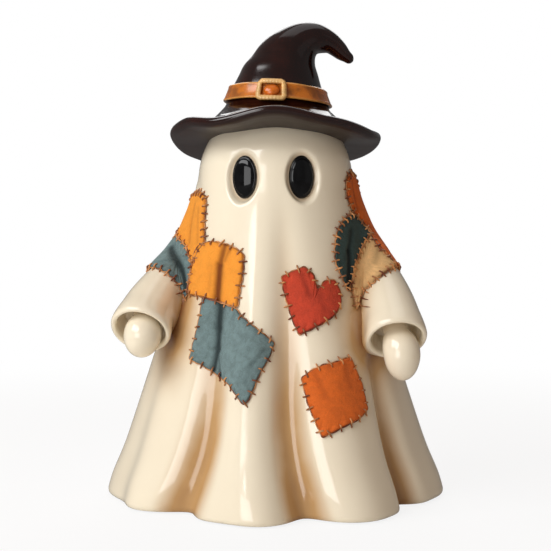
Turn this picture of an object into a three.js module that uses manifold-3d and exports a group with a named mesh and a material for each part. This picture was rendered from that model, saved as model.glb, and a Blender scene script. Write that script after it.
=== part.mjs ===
// Light-up ghost figure in a witch hat: a hollow glazed robe casting with sleeves, hands, eyes, hat and
// felt patches, closed underneath by a base plate that carries the battery box, the switch and the light.
// Millimetres, +Z up, front towards -Y, origin on the floor under the middle of the figure.
// Left and right are the viewer's. Angles round the figure are in degrees from the front, positive to the
// right.

import * as THREE from 'three';
import { mergeVertices } from 'three/addons/utils/BufferGeometryUtils.js';
import Module from 'manifold-3d';

const wasm = await Module();
wasm.setup();

// Clearances
const SEAT_GAP = 0.3; // between pieces that seat on each other
const SLIDE_GAP = 0.4; // round the door, the switch knob and the screws
const OVERCUT = 1; // cutters run this far past the face they cut
const EDGE = 0.5; // broken edge of turned pieces

// Robe casting
const HEAD_RADIUS = 40.5;
const HEAD_HEIGHT = 166; // centre of the head's dome above the floor
const ROBE_SPREAD = 0.28; // how fast the robe widens below the head, mm per mm
const SHOULDER_EASE = 22; // height over which the head turns into the robe
const HEM_FLARE = 1.5;
const HEM_FLARE_HEIGHT = 10;
const HEM_FLARE_BAND = 12;
const HEM_LIFT = 0.8; // the hem hangs this far above the floor, on the rubber feet
const HEM_ROUND = 2.2; // how far the rim of the hem turns in
const HEM_CURL = 3; // height over which it does
const ROBE_WALL = 4.5;
const FOLD_GROWTH = 1.3; // how a fold deepens towards the hem
const FOLD_TURN = 60; // below this height a fold swings to its place at the hem
const ROBE_SIDES = 80;

// Drape folds: angle high up and at the hem, half width in degrees, depth at the hem (negative is a valley)
// and the height at which the fold begins.
const FOLDS = [
  { top: -90, hem: -90, width: 16, reach: 7, start: 150 },
  { top: -58, hem: -58, width: 8, reach: 3.5, start: 110 },
  { top: -29, hem: -38, width: 8.5, reach: -12, start: 150 },
  { top: -11, hem: -6, width: 10, reach: 5, start: 160 },
  { top: 5, hem: 12, width: 8, reach: -12, start: 168 },
  { top: 27, hem: 32, width: 12, reach: 6, start: 150 },
  { top: 54, hem: 57, width: 6, reach: -12, start: 105 },
  { top: 90, hem: 88, width: 15, reach: 7, start: 150 },
  { top: 118, hem: 118, width: 11, reach: -8, start: 150 },
  { top: 140, hem: 142, width: 12, reach: 6, start: 150 },
  { top: 163, hem: 166, width: 10, reach: -9, start: 150 },
  { top: -172, hem: -170, width: 13, reach: 5.5, start: 150 },
  { top: -146, hem: -146, width: 10, reach: -9, start: 150 },
  { top: -120, hem: -122, width: 11, reach: 5, start: 150 },
];

// Eyes
const EYE_WIDTH = 13.4;
const EYE_HEIGHT = 21.6;
const EYE_DEPTH = 3.4; // thickness of the cabochon
const EYE_LEVEL = HEAD_HEIGHT - 1; // height of the eyes' centres
const EYE_ANGLES = { left: -24.5, right: 20.5 };
const EYE_EDGE = 0.8; // its straight edge
const EYE_SINK = 0.4; // the front of the eye lies this far below the face
const SOCKET_RIM = 2.6; // width of the rounded dish round the eye
const SOCKET_DISH = 1.4; // depth of that dish
const SOCKET_REACH = 6; // the cutter of the socket reaches this far out of the face

// Sleeves: centreline as a Bezier curve from inside the shoulder to the cuff. Each point is how far out from
// the head's side, how far to the front and how far below the head's centre.
const SLEEVE_START_RADIUS = 9.8;
const SLEEVE_CUFF_RADIUS = 14.6;
const SLEEVE_SWELL = 1.1; // how late the sleeve widens
const SLEEVE_SIDES = 24;
const SLEEVE_STEPS = 10;
const CUFF_WALL = 3;
const CUFF_ROLL = 0.8; // the rim stands this far outside the sleeve
const CUFF_DEPTH = 12;
const SLEEVES = {
  left: { side: -1, path: [[-9.9, 0, 8], [4.5, 0, 52.8], [20.4, 14.8, 54.3], [26.3, 38.8, 76.2]] },
  right: { side: 1, path: [[-8.5, 0, 8], [3.6, 0, 46.5], [16.3, 16.1, 50.6], [19, 43.5, 80.2]] },
};

// Hands: from the floor of the cuff to the tip. Each centre is measured from the middle of the cuff's mouth.
const HAND_NECK = 6.5;
const NECK_OVERLAP = 2; // the neck ends this far short of the hand's centre
const HANDS = {
  left: { centre: [1, -3, -3], lean: [-0.1, -0.4, -1], radius: 9.3, length: 23.4 },
  right: { centre: [2.4, -3.5, -7.4], lean: [0.05, -0.2, -1], radius: 9.1, length: 28 },
};

// Hat
const BRIM_RADIUS = HEAD_RADIUS + 15;
const BRIM_LEVEL = HEAD_HEIGHT + 20.5; // height of the rim at the sides
const BRIM_TILT = 0.172; // the brim tips back: rise per mm towards the front
const BRIM_THICKNESS = 4.6;
const HAT_SIDES = 36;
const BRIM_EDGE = BRIM_THICKNESS / 2;
// The brim from under the head round its rolled edge and up to the crown: distance from the axis, height
// above the rim's level, and the shares of the brim's tilt and wave that it takes there.
const BRIM_PROFILE = [
  { radius: BRIM_RADIUS - 19.5, rise: -BRIM_EDGE, tilt: 1, wave: 0.3 },
  { radius: BRIM_RADIUS - 9.5, rise: -BRIM_EDGE - 0.4, tilt: 1, wave: 0.6 },
  { radius: BRIM_RADIUS - 3.5, rise: -BRIM_EDGE, tilt: 1, wave: 0.9 },
  { radius: BRIM_RADIUS - 0.9, rise: -BRIM_EDGE / 2, tilt: 1, wave: 1 },
  { radius: BRIM_RADIUS, rise: BRIM_EDGE / 4, tilt: 1, wave: 1 },
  { radius: BRIM_RADIUS - 1, rise: BRIM_EDGE, tilt: 1, wave: 1 },
  { radius: BRIM_RADIUS - 5.5, rise: BRIM_EDGE + 0.4, tilt: 1, wave: 0.8 },
  { radius: BRIM_RADIUS - 12.5, rise: BRIM_EDGE + 1.8, tilt: 1, wave: 0.4 },
  { radius: BRIM_RADIUS - 19, rise: 7, tilt: 0.8, wave: 0.1 },
  { radius: BRIM_RADIUS - 24.5, rise: 11.8, tilt: 0.45, wave: 0 },
  { radius: BRIM_RADIUS - 27.5, rise: 15.2, tilt: 0.18, wave: 0 },
];
// Height of the rim every 30 degrees, from the front.
const BRIM_WAVE = [0.3, -3, -3.5, 0, -0.3, 0.5, 0, -0.8, 0.2, 2, 1.2, -3.3];
const CROWN_RADIUS = BRIM_RADIUS - 29.2; // at its foot
// The bent crown: centres along its spine, across and above the rim's level, and the radius there.
const CROWN_SPINE = [
  { x: 0.6, rise: 17.5, radius: CROWN_RADIUS },
  { x: 0.9, rise: 22.5, radius: 0.939 * CROWN_RADIUS },
  { x: 1.2, rise: 27.5, radius: 0.871 * CROWN_RADIUS },
  { x: 1.8, rise: 34.4, radius: 0.76 * CROWN_RADIUS },
  { x: 2.9, rise: 39.2, radius: 0.681 * CROWN_RADIUS },
  { x: 5.4, rise: 44, radius: 0.593 * CROWN_RADIUS },
  { x: 8.9, rise: 48.5, radius: 0.532 * CROWN_RADIUS },
  { x: 13, rise: 51.7, radius: 0.46 * CROWN_RADIUS },
  { x: 18.5, rise: 53.7, radius: 0.38 * CROWN_RADIUS },
  { x: 24, rise: 53.6, radius: 0.304 * CROWN_RADIUS },
  { x: 29.3, rise: 51, radius: 0.232 * CROWN_RADIUS },
  { x: 34.5, rise: 46.9, radius: 0.167 * CROWN_RADIUS },
  { x: 38.4, rise: 43.5, radius: 0.118 * CROWN_RADIUS },
];
const STRAIGHT_ROWS = 3; // the lowest rows of the crown lie level, under the band
const BAND_BOTTOM = BRIM_LEVEL + 18.8;
const BAND_HEIGHT = 8.4;
const BAND_LEAN = 1.4; // it sits this much lower at the right, and higher at the left
const BAND_THICKNESS = 1.7;
const BAND_BEVEL = 0.6;
const BUCKLE_ANGLE = -5.5;
const BUCKLE_WIDTH = 15.8;
const BUCKLE_HEIGHT = 11.6;
const BUCKLE_BAR = 2.3;
const BUCKLE_THICKNESS = 2.4;
const BUCKLE_CORNER = 2.6;
const STUD_RADIUS = BUCKLE_HEIGHT / 2 - BUCKLE_BAR - SEAT_GAP;
const STUD_HEIGHT = 2.2;

// Felt patches: outlines in millimetres on an upright plane that faces the given angle, pressed on to the
// figure along that direction. The first number runs to the right along the plane, the second is how far the
// point lies below the head's centre. The patch that goes round a sleeve has its first number along the
// girth.
const FELT = 1.3;
const FELT_LIFT = 0.8; // felt stands off the glaze by its stitches
const FELT_STEP = 4.4; // spacing of the points along a patch's edge
const FELT_RING = 6.5; // and of its rings towards the middle, at most
const GIRTH_RADIUS = SLEEVE_CUFF_RADIUS + 5.4; // from the point that a wrapped patch fans out from
const FAN_SHARE = 0.25; // which lies this share of the way from the sleeve's middle to the axis
const CREASE_FILL = 5; // how far felt bridges the crease between robe and sleeve
const PATCHES = {
  left_shoulder_patch: {
    facing: -70, centre: [-3, 21], colour: '#e0801f',
    outline: [[-1.5, 4.5], [5, 8], [9.5, 15.5], [10.5, 21.5], [12, 28], [13, 34.5], [5.5, 38.6], [0.5, 32.8],
      [-4.5, 27.4], [-13, 26.8], [-19.5, 25], [-20, 14], [-12, 6]],
  },
  left_sleeve_patch: {
    round: 'left', centre: [-14, 43], colour: '#4d6164',
    outline: [[-26, 30], [-19.5, 33.8], [-15, 37.3], [-11.4, 40.2], [-8.5, 42.5], [-6, 45.9],
      [-4.5, 50.6], [-3.4, 56], [-3.4, 60], [-8.6, 55.9], [-11.5, 52.4], [-14, 49.9], [-16.8, 47.6],
      [-20, 46.3], [-27.3, 47.8], [-33.2, 48.9], [-37, 48.4], [-38.6, 43.8], [-38.3, 38.8], [-35.2, 34],
      [-30.8, 31]],
  },
  chest_patch: {
    facing: 0, centre: [-28, 49], colour: '#e5801f',
    outline: [[-39.5, 38.5], [-38, 36.5], [-35, 33.5], [-32, 32.5], [-27, 32.2], [-22, 34], [-17.5, 37],
      [-14, 39.5], [-15.5, 46.5], [-17, 59], [-18.5, 64.5], [-25, 63.5], [-30.5, 61.4], [-37, 59.7],
      [-42.5, 58.5], [-41.5, 49]],
  },
  front_patch: {
    facing: 0, centre: [-23, 86], colour: '#4d6164',
    outline: [[-36, 63], [-30.5, 64.8], [-25.5, 66.5], [-17, 69.5], [-11, 74.5], [-1, 81], [-5, 90.5],
      [-8, 100], [-14.5, 112.5], [-19, 106.5], [-27.5, 100], [-33, 96], [-42, 91.5], [-40, 82.5],
      [-38.5, 75.5]],
  },
  heart_patch: {
    facing: 0, centre: [18, 63], colour: '#a92b1b',
    outline: [[3.5, 51], [8.5, 48.8], [14, 46.5], [18, 50.5], [20.5, 56.5], [24.5, 53.2], [28.5, 53.2],
      [31, 59], [31, 64], [28.5, 68.5], [23.5, 72], [12, 78], [9, 71], [4.5, 57]],
  },
  skirt_patch: {
    facing: 0, centre: [29, 108], colour: '#d9620f',
    outline: [[13.5, 99.5], [18.5, 95.5], [23, 93.5], [28.5, 92.5], [35.5, 90.5], [41, 103.5],
      [43.5, 115], [39, 118.5], [33, 120.5], [22.5, 125.5], [16.5, 111]],
  },
  right_shoulder_patch: {
    facing: 70, centre: [12, 23], colour: '#d96a12',
    outline: [[1, -1], [-4, 6.5], [-5.5, 11], [0.5, 17], [4.5, 22.5], [6, 27.5], [6.5, 32], [7.5, 37.5],
      [7.5, 44.5], [14, 47], [18, 45.5], [20, 31], [20, 16], [15.5, 4], [8, -2]],
  },
  right_side_patch: {
    facing: 30, centre: [17, 38], colour: '#21383a',
    outline: [[27.5, 20.8], [32, 25], [34.6, 28.6], [31, 33.7], [24.4, 39.4], [18.4, 45.4], [14, 54.5],
      [10, 52], [6.5, 46], [6.5, 41.5], [8.5, 35.5], [12.5, 28.5], [19.5, 22.5]],
  },
  right_sleeve_patch: {
    facing: 30, centre: [30, 47], colour: '#cc9961',
    outline: [[36, 31], [38, 35], [40.5, 39.8], [42, 45], [37, 51], [30, 55.5], [25.5, 60], [18.5, 64.5],
      [17, 57.5], [19, 51], [25.5, 42.5], [31.5, 36.4]],
  },
};

// Base plate and what it carries
const PLATE_BOTTOM = 2;
const PLATE_THICKNESS = 2.6;
const RIM_WALL = 2.6; // wall of the robe below the ledge that the plate seats against
const PLATE_SIDES = 80;
const FOOT_RADIUS = 5;
const FOOT_CIRCLE = 54;
const FOOT_ANGLES = [12, 102, 192, 282];
const SCREW_ANGLES = [-37, 57, 165]; // in the valleys, where the wall comes in to the bosses
const BOSS_RADIUS = 4.4;
const BOSS_SET = 1.8; // from the robe's inner wall to the middle of a boss
const BOSS_HEIGHT = 15;
const SCREW_SHANK = 1.3;
const SCREW_HEAD = 2.7;
const SCREW_HEAD_HEIGHT = 1.3;
const SCREW_LENGTH = 11;

// Battery box
const CELL_RADIUS = 5.25;
const CELL_LENGTH = 43.5;
const CELL_PITCH = 11;
const CELL_COUNT = 3;
const CONTACT_ROOM = 4.9; // beyond a cell at its spring end
const PLATE_ROOM = 1.3; // and at its nub end
const PLATE_SIDE = 8.6;
const NUB_RADIUS = 1.9;
const NUB_HEIGHT = 1;
const COIL_WIRE = 0.4; // radius of the springs' wire
const COIL_TURNS = 2;
const COIL_WIDE = 3.6; // radius at the wall, and at the cell
const COIL_NARROW = 2;
const BOX_WALL = 1.6;
const DOOR_LENGTH = 52; // along X
const DOOR_WIDTH = 38; // along Y
const CELL_PLAY = 0.4; // above and below a cell
const BOX_END = 2; // thicker end walls, beyond BOX_WALL
const DOOR_LIP = 1; // the box overhangs the door by this much
const HINGE_ROOM = 3.6; // room for the door's tabs inside the box
const TAB_WIDTH = 6;
const TAB_OFFSET = 15;
const TAB_REACH = 3.5; // from the root of the tab, which is set in by its root's depth
const TAB_ROOT = 1.6;
const TAB_THICKNESS = 1.2;
const LATCH_RADIUS = 4.2; // round ear of the door that takes its screw
const LATCH_REACH = 3.4;
const DOOR_SCREW_LENGTH = 5.2;

// Switch
const SWITCH_AT = { x: 44, y: 0 };
const SWITCH_BODY = { x: 6, y: 13, z: 5 };
const KNOB = { x: 2.6, y: 3.4, inside: 2.2 };
const SWITCH_TRAVEL = 4;
const KNOB_PROUD = 0.9; // the knob stands below the plate by this much
const GROOVE = { width: 0.5, depth: 0.4, pitch: 1 };

// Light
const PILLAR_RADIUS = 7;
const PILLAR_BORE = 4.5;
const PILLAR_HEIGHT = 62;
const FLANGE_RADIUS = 13.5;
const FLANGE_THICKNESS = 2;
const FLANGE_TAPER = 4;
const BOARD_RADIUS = 10;
const BOARD_THICKNESS = 1.6;
const LED_RADIUS = 2.5;
const LED_HEIGHT = 8.6;
const LED_CIRCLE = 5.5;
const DIFFUSER_HEIGHT = 30;
const DIFFUSER_WALL = 1.5;
const DIFFUSER_ARC = 4; // facets of its dome
const WIRE_RADIUS = 0.7;
const WIRE_APART = 1.6; // from the pillar's axis
const LED_COUNT = 3;
const LED_FLANGE = 0.4;

const LEDGE = PLATE_BOTTOM + PLATE_THICKNESS + SEAT_GAP; // step in the robe that the plate seats against
const DOOR_TOP = PLATE_BOTTOM + PLATE_THICKNESS;
const CELL_LEVEL = DOOR_TOP + CELL_PLAY + CELL_RADIUS;
const BOX_ROOF = CELL_LEVEL + CELL_RADIUS + CELL_PLAY; // underside of the roof
const BOX_TOP = BOX_ROOF + BOX_WALL;

const clamp = (value, low, high) => Math.min(high, Math.max(low, value));
const radians = (degrees) => (degrees * Math.PI) / 180;

// Shape of the robe

// The sum of the folds at an angle and height: bell-shaped ridges and valleys that deepen towards the hem.
function foldDepth(angle, height) {
  let sum = 0;
  for (const fold of FOLDS) {
    const fall = clamp((fold.start - height) / fold.start, 0, 1);
    const swing = Math.max(0, 1 - height / FOLD_TURN) ** 2;
    const centre = fold.top + (fold.hem - fold.top) * swing;
    const off = ((((angle - centre + 180) % 360) + 360) % 360) - 180;
    sum += fold.reach * fall ** FOLD_GROWTH * Math.exp(-((off / fold.width) ** 2));
  }
  return sum;
}

// Radius of the outside of the robe: a dome for the head, then a cone that eases out and flares at the hem.
function robeRadius(angle, height) {
  const above = height - HEAD_HEIGHT;
  if (above > 0) return Math.sqrt(Math.max(HEAD_RADIUS ** 2 - above ** 2, 0));
  const below = -above;
  const cone = (ROBE_SPREAD * below ** 2) / (below + SHOULDER_EASE);
  const flare = HEM_FLARE * Math.exp(-(((height - HEM_FLARE_HEIGHT) / HEM_FLARE_BAND) ** 2));
  return HEAD_RADIUS + cone + flare + foldDepth(angle, height);
}

function around(angle, radius, height) {
  const turn = radians(angle);
  return new THREE.Vector3(radius * Math.sin(turn), -radius * Math.cos(turn), height);
}

// A closed ring of points on the robe, moved in or out by offset.
function robeRing(height, offset, lift = 0, sides = ROBE_SIDES) {
  const ring = [];
  for (let i = 0; i < sides; i += 1) {
    const angle = (360 * i) / sides;
    ring.push(around(angle, Math.max(robeRadius(angle, height) + offset, 0.5), height + lift));
  }
  return ring;
}

// Points on the dome, with offset along the sphere's own radius.
function domeRing(turn, offset, sides = ROBE_SIDES) {
  const radius = (HEAD_RADIUS + offset) * Math.cos(radians(turn));
  const height = HEAD_HEIGHT + (HEAD_RADIUS + offset) * Math.sin(radians(turn));
  const ring = [];
  for (let i = 0; i < sides; i += 1) ring.push(around((360 * i) / sides, radius, height));
  return ring;
}

// Distance from the robe's outside, roughly in millimetres.
function robeDistance(point) {
  const radius = Math.hypot(point.x, point.y);
  if (point.z > HEAD_HEIGHT) return Math.hypot(radius, point.z - HEAD_HEIGHT) - HEAD_RADIUS;
  const angle = (Math.atan2(point.x, -point.y) * 180) / Math.PI;
  return (radius - robeRadius(angle, point.z)) * 0.93;
}

function sleeveCurve(side) {
  const { path, side: sign } = SLEEVES[side];
  const [a, b, c, d] = path.map(([out, front, below]) =>
    new THREE.Vector3(sign * (HEAD_RADIUS + out), -front, HEAD_HEIGHT - below));
  return new THREE.CubicBezierCurve3(a, b, c, d);
}

const SLEEVE_GROWTH = SLEEVE_CUFF_RADIUS - SLEEVE_START_RADIUS;
const sleeveRadius = (t) => SLEEVE_START_RADIUS + SLEEVE_GROWTH * t ** SLEEVE_SWELL;

const SLEEVE_SAMPLES = 40;
const sleeveSamples = {};
for (const side of Object.keys(SLEEVES)) {
  const curve = sleeveCurve(side);
  sleeveSamples[side] = [];
  for (let i = 0; i <= SLEEVE_SAMPLES; i += 1) {
    const t = i / SLEEVE_SAMPLES;
    sleeveSamples[side].push({ point: curve.getPoint(t), radius: sleeveRadius(t) });
  }
}

function sleeveDistance(point, side) {
  return Math.min(...sleeveSamples[side].map((s) => s.point.distanceTo(point) - s.radius));
}

// Two distances joined with a rounded crease, as cloth bridges it.
function bridged(a, b) {
  const h = Math.max(CREASE_FILL - Math.abs(a - b), 0) / CREASE_FILL;
  return Math.min(a, b) - (h * h * CREASE_FILL) / 4;
}

function bodyDistance(point) {
  const left = bridged(robeDistance(point), sleeveDistance(point, 'left'));
  return bridged(left, sleeveDistance(point, 'right'));
}

// Solids from rings

function closedGeometry(points, faces) {
  const geometry = new THREE.BufferGeometry();
  const places = points.flatMap((p) => [p.x, p.y, p.z]);
  geometry.setAttribute('position', new THREE.Float32BufferAttribute(places, 3));
  let volume = 0;
  for (const [a, b, c] of faces) {
    volume += new THREE.Vector3().crossVectors(points[a], points[b]).dot(points[c]);
  }
  geometry.setIndex(faces.flatMap(([a, b, c]) => (volume > 0 ? [a, b, c] : [a, c, b])));
  return geometry;
}

// Rings joined in order; a fan to the first and last point closes the ends.
function loft(rings, first, last) {
  const sides = rings[0].length;
  const points = [first, ...rings.flat(), last];
  const at = (ring, i) => 1 + ring * sides + (i % sides);
  const faces = [];
  for (let i = 0; i < sides; i += 1) {
    faces.push([0, at(0, i + 1), at(0, i)]);
    for (let r = 0; r + 1 < rings.length; r += 1) {
      faces.push([at(r, i), at(r, i + 1), at(r + 1, i + 1)]);
      faces.push([at(r, i), at(r + 1, i + 1), at(r + 1, i)]);
    }
    faces.push([at(rings.length - 1, i), at(rings.length - 1, i + 1), points.length - 1]);
  }
  return closedGeometry(points, faces);
}

// Rings joined in order and back to the first one, as a band or a frame.
function loop(rings) {
  const sides = rings[0].length;
  const points = rings.flat();
  const at = (ring, i) => (ring % rings.length) * sides + (i % sides);
  const faces = [];
  for (let r = 0; r < rings.length; r += 1) {
    for (let i = 0; i < sides; i += 1) {
      faces.push([at(r, i), at(r, i + 1), at(r + 1, i + 1)]);
      faces.push([at(r, i), at(r + 1, i + 1), at(r + 1, i)]);
    }
  }
  return closedGeometry(points, faces);
}

// Joining and cutting

function solid(geometry) {
  const bare = (geometry.index ? geometry : geometry.clone()).clone();
  bare.deleteAttribute('normal');
  bare.deleteAttribute('uv');
  const merged = mergeVertices(bare, 1e-4);
  return new wasm.Manifold(
    new wasm.Mesh({
      numProp: 3,
      vertProperties: new Float32Array(merged.attributes.position.array),
      triVerts: new Uint32Array(merged.index.array),
    }),
  );
}

function geometryOf(manifold) {
  const mesh = manifold.getMesh();
  const geometry = new THREE.BufferGeometry();
  geometry.setAttribute('position', new THREE.BufferAttribute(new Float32Array(mesh.vertProperties), 3));
  geometry.setIndex(new THREE.BufferAttribute(new Uint32Array(mesh.triVerts), 1));
  return geometry;
}

function box(x, y, z, at) {
  return new THREE.BoxGeometry(x, y, z).translate(at[0], at[1], at[2]);
}

// An upright cylinder from its lower end.
function post(radius, height, at, sides = 24) {
  return new THREE.CylinderGeometry(radius, radius, height, sides)
    .rotateX(Math.PI / 2)
    .translate(at[0], at[1], at[2] + height / 2);
}

// A turned piece whose profile is radius and height, about the Z axis.
function turned(profile, sides) {
  const points = profile.map(([radius, height]) => new THREE.Vector2(radius, height));
  return new THREE.LatheGeometry(points, sides).rotateX(Math.PI / 2);
}

function tube(points, radius, sides, steps) {
  const curve = new THREE.CatmullRomCurve3(points.map((p) => new THREE.Vector3(...p)), false, 'centripetal');
  const section = new THREE.Shape();
  for (let i = 0; i < sides; i += 1) {
    const turn = (2 * Math.PI * i) / sides;
    if (i === 0) section.moveTo(radius, 0);
    else section.lineTo(radius * Math.cos(turn), radius * Math.sin(turn));
  }
  return new THREE.ExtrudeGeometry(section, { steps, extrudePath: curve, curveSegments: sides });
}

// Robe, sleeves and hands

// Heights of the robe's rows, closer together near the hem where the folds are deep.
const rows = (from, to, count, ease) =>
  Array.from({ length: count }, (_, i) => from + (to - from) * (i / (count - 1)) ** ease);
const ROBE_HEIGHTS = rows(HEM_CURL, HEAD_HEIGHT - HEM_CURL, 13, 1.4);
const INNER_HEIGHTS = rows(LEDGE + BOSS_HEIGHT, HEAD_HEIGHT - SHOULDER_EASE, 4, 1.2);
const DOME_TURNS = [0, 16, 32, 56];
const INNER_DOME_TURNS = [0, 30, 60];

// The robe as one solid without its hollow, grown by offset, for cutting what seats on it.
function robeBulk(offset) {
  const rings = [robeRing(HEM_LIFT, offset - HEM_ROUND, -8)];
  rings.push(robeRing(HEM_LIFT, offset - HEM_ROUND));
  for (const height of ROBE_HEIGHTS) rings.push(robeRing(height, offset));
  for (const turn of DOME_TURNS) rings.push(domeRing(turn, offset));
  const top = new THREE.Vector3(0, 0, HEAD_HEIGHT + HEAD_RADIUS + offset);
  return solid(loft(rings, new THREE.Vector3(0, 0, HEM_LIFT - 8), top));
}

// The top of the head, grown by offset, with few sides, for cutting the hat.
function headBulk(offset) {
  const rings = [robeRing(HEAD_HEIGHT - 12, offset, 0, HAT_SIDES)];
  for (const turn of [0, 12, 24, 36, 48, 60, 74]) rings.push(domeRing(turn, offset, HAT_SIDES));
  const top = new THREE.Vector3(0, 0, HEAD_HEIGHT + HEAD_RADIUS + offset);
  return solid(loft(rings, new THREE.Vector3(0, 0, HEAD_HEIGHT - 12), top));
}

function bossCentre(angle) {
  const inner = robeRadius(angle, LEDGE + BOSS_HEIGHT / 2) - ROBE_WALL;
  return around(angle, inner - BOSS_SET, LEDGE);
}

// A shape placed on the face at an eye: local X across, local Y up, local Z outwards.
function onFace(geometry, angle, sink) {
  const centre = around(angle, robeRadius(angle, EYE_LEVEL) - sink, EYE_LEVEL);
  const across = around(angle + 90, 1, 0);
  const out = around(angle, 1, 0);
  const frame = new THREE.Matrix4().makeBasis(across, new THREE.Vector3(0, 0, 1), out).setPosition(centre);
  return geometry.clone().applyMatrix4(frame);
}

function ovalPost(width, height, depth, sides = 24) {
  return new THREE.CylinderGeometry(1, 1, depth, sides)
    .rotateX(Math.PI / 2)
    .scale(width / 2, height / 2, 1)
    .translate(0, 0, depth / 2);
}

function robeShell() {
  const inner = new THREE.Vector3(0, 0, HEAD_HEIGHT + HEAD_RADIUS - ROBE_WALL);
  const outer = new THREE.Vector3(0, 0, HEAD_HEIGHT + HEAD_RADIUS);
  const rings = [];
  for (const turn of [...INNER_DOME_TURNS].reverse()) rings.push(domeRing(turn, -ROBE_WALL));
  for (const height of [...INNER_HEIGHTS].reverse()) rings.push(robeRing(height, -ROBE_WALL));
  rings.push(robeRing(LEDGE, -ROBE_WALL));
  rings.push(robeRing(LEDGE, -RIM_WALL));
  rings.push(robeRing(HEM_LIFT, -RIM_WALL));
  rings.push(robeRing(HEM_LIFT, -HEM_ROUND / 2));
  for (const height of ROBE_HEIGHTS) rings.push(robeRing(height, 0));
  for (const turn of DOME_TURNS) rings.push(domeRing(turn, 0));
  let shell = solid(loft(rings, inner, outer));
  for (const angle of SCREW_ANGLES) {
    const at = bossCentre(angle);
    shell = shell.add(solid(post(BOSS_RADIUS, BOSS_HEIGHT, at.toArray(), 16)));
    const pilot = post(SCREW_SHANK + SLIDE_GAP, SCREW_LENGTH + OVERCUT, [at.x, at.y, LEDGE - OVERCUT], 12);
    shell = shell.subtract(solid(pilot));
  }
  for (const angle of Object.values(EYE_ANGLES)) {
    const deep = EYE_DEPTH + SEAT_GAP + SOCKET_REACH;
    const pocket = ovalPost(EYE_WIDTH + 2 * SEAT_GAP, EYE_HEIGHT + 2 * SEAT_GAP, deep);
    shell = shell.subtract(solid(onFace(pocket, angle, EYE_SINK + EYE_DEPTH + SEAT_GAP)));
    const dish = new THREE.SphereGeometry(1, 24, 10)
      .scale(EYE_WIDTH / 2 + SOCKET_RIM, EYE_HEIGHT / 2 + SOCKET_RIM, SOCKET_DISH + OVERCUT);
    shell = shell.subtract(solid(onFace(dish, angle, -OVERCUT)));
  }
  return geometryOf(shell);
}

// Flat-backed oval cabochon.
function eye(side) {
  const profile = [[0, 0], [1, 0]];
  for (let i = 0; i <= 4; i += 1) {
    const turn = radians(22.5 * i);
    profile.push([i === 4 ? 0 : Math.cos(turn), EYE_EDGE + (EYE_DEPTH - EYE_EDGE) * Math.sin(turn)]);
  }
  const shape = turned(profile, 24).scale(EYE_WIDTH / 2, EYE_HEIGHT / 2, 1);
  return onFace(shape, EYE_ANGLES[side], EYE_SINK + EYE_DEPTH);
}

// Ring of radius round a point, square to a direction.
function ringAcross(centre, direction, radius, sides) {
  const across = new THREE.Vector3(0, 1, 0).cross(direction).normalize();
  const over = new THREE.Vector3().crossVectors(direction, across).normalize();
  const ring = [];
  for (let i = 0; i < sides; i += 1) {
    const turn = (2 * Math.PI * i) / sides;
    ring.push(
      centre.clone()
        .addScaledVector(across, radius * Math.cos(turn))
        .addScaledVector(over, radius * Math.sin(turn)),
    );
  }
  return ring;
}

function cuffPoint(side, along) {
  const curve = sleeveCurve(side);
  return curve.getPoint(1).addScaledVector(curve.getTangent(1), along);
}

function sleeveRings(side, offset) {
  const curve = sleeveCurve(side);
  const rings = [];
  for (let i = 0; i <= SLEEVE_STEPS; i += 1) {
    const t = i / SLEEVE_STEPS;
    rings.push(ringAcross(curve.getPoint(t), curve.getTangent(t), sleeveRadius(t) + offset, SLEEVE_SIDES));
  }
  return rings;
}

// The sleeve without its cuff, grown by offset, for cutting what seats on it.
function sleeveBulk(side, offset) {
  const curve = sleeveCurve(side);
  return solid(loft(sleeveRings(side, offset), curve.getPoint(0), curve.getPoint(1)));
}

// Bell sleeve with a rolled rim and a blind cuff, cut to seat on the robe.
function sleeve(side) {
  const curve = sleeveCurve(side);
  const end = curve.getTangent(1);
  const rings = sleeveRings(side, 0);
  const rim = [
    [1, CUFF_ROLL], [2.2, CUFF_ROLL / 2], [2.8, (CUFF_ROLL - CUFF_WALL) / 2], [2.2, CUFF_ROLL - CUFF_WALL],
    [0.8, -CUFF_WALL], [-CUFF_DEPTH, -CUFF_WALL - 1.5],
  ];
  for (const [along, out] of rim) {
    rings.push(ringAcross(cuffPoint(side, along), end, SLEEVE_CUFF_RADIUS + out, SLEEVE_SIDES));
  }
  const whole = solid(loft(rings, curve.getPoint(0), cuffPoint(side, -CUFF_DEPTH)));
  return geometryOf(largest(whole.subtract(robeBulk(SEAT_GAP))));
}

function largest(manifold) {
  return manifold.decompose().sort((a, b) => b.volume() - a.volume())[0];
}

// Smooth nub: a round neck on the floor of the cuff that swells to the hand and closes at the tip.
function hand(side) {
  const { centre, lean, radius, length } = HANDS[side];
  const down = new THREE.Vector3(...lean).normalize();
  const heart = cuffPoint(side, 0).add(new THREE.Vector3(...centre));
  const nub = new THREE.SphereGeometry(1, 16, 10).rotateX(Math.PI / 2).scale(radius, radius, length / 2);
  const turn = new THREE.Quaternion().setFromUnitVectors(new THREE.Vector3(0, 0, -1), down);
  nub.applyQuaternion(turn).translate(heart.x, heart.y, heart.z);
  const seat = cuffPoint(side, -CUFF_DEPTH + SEAT_GAP);
  const axis = heart.clone().sub(seat).normalize();
  const square = sleeveCurve(side).getTangent(1);
  const neckTop = heart.clone().addScaledVector(axis, -NECK_OVERLAP);
  const neck = loft(
    [ringAcross(seat, square, HAND_NECK, 16), ringAcross(neckTop, axis, HAND_NECK, 16)],
    seat.clone(),
    heart.clone(),
  );
  return geometryOf(solid(nub).add(solid(neck)));
}

// Hat

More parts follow.
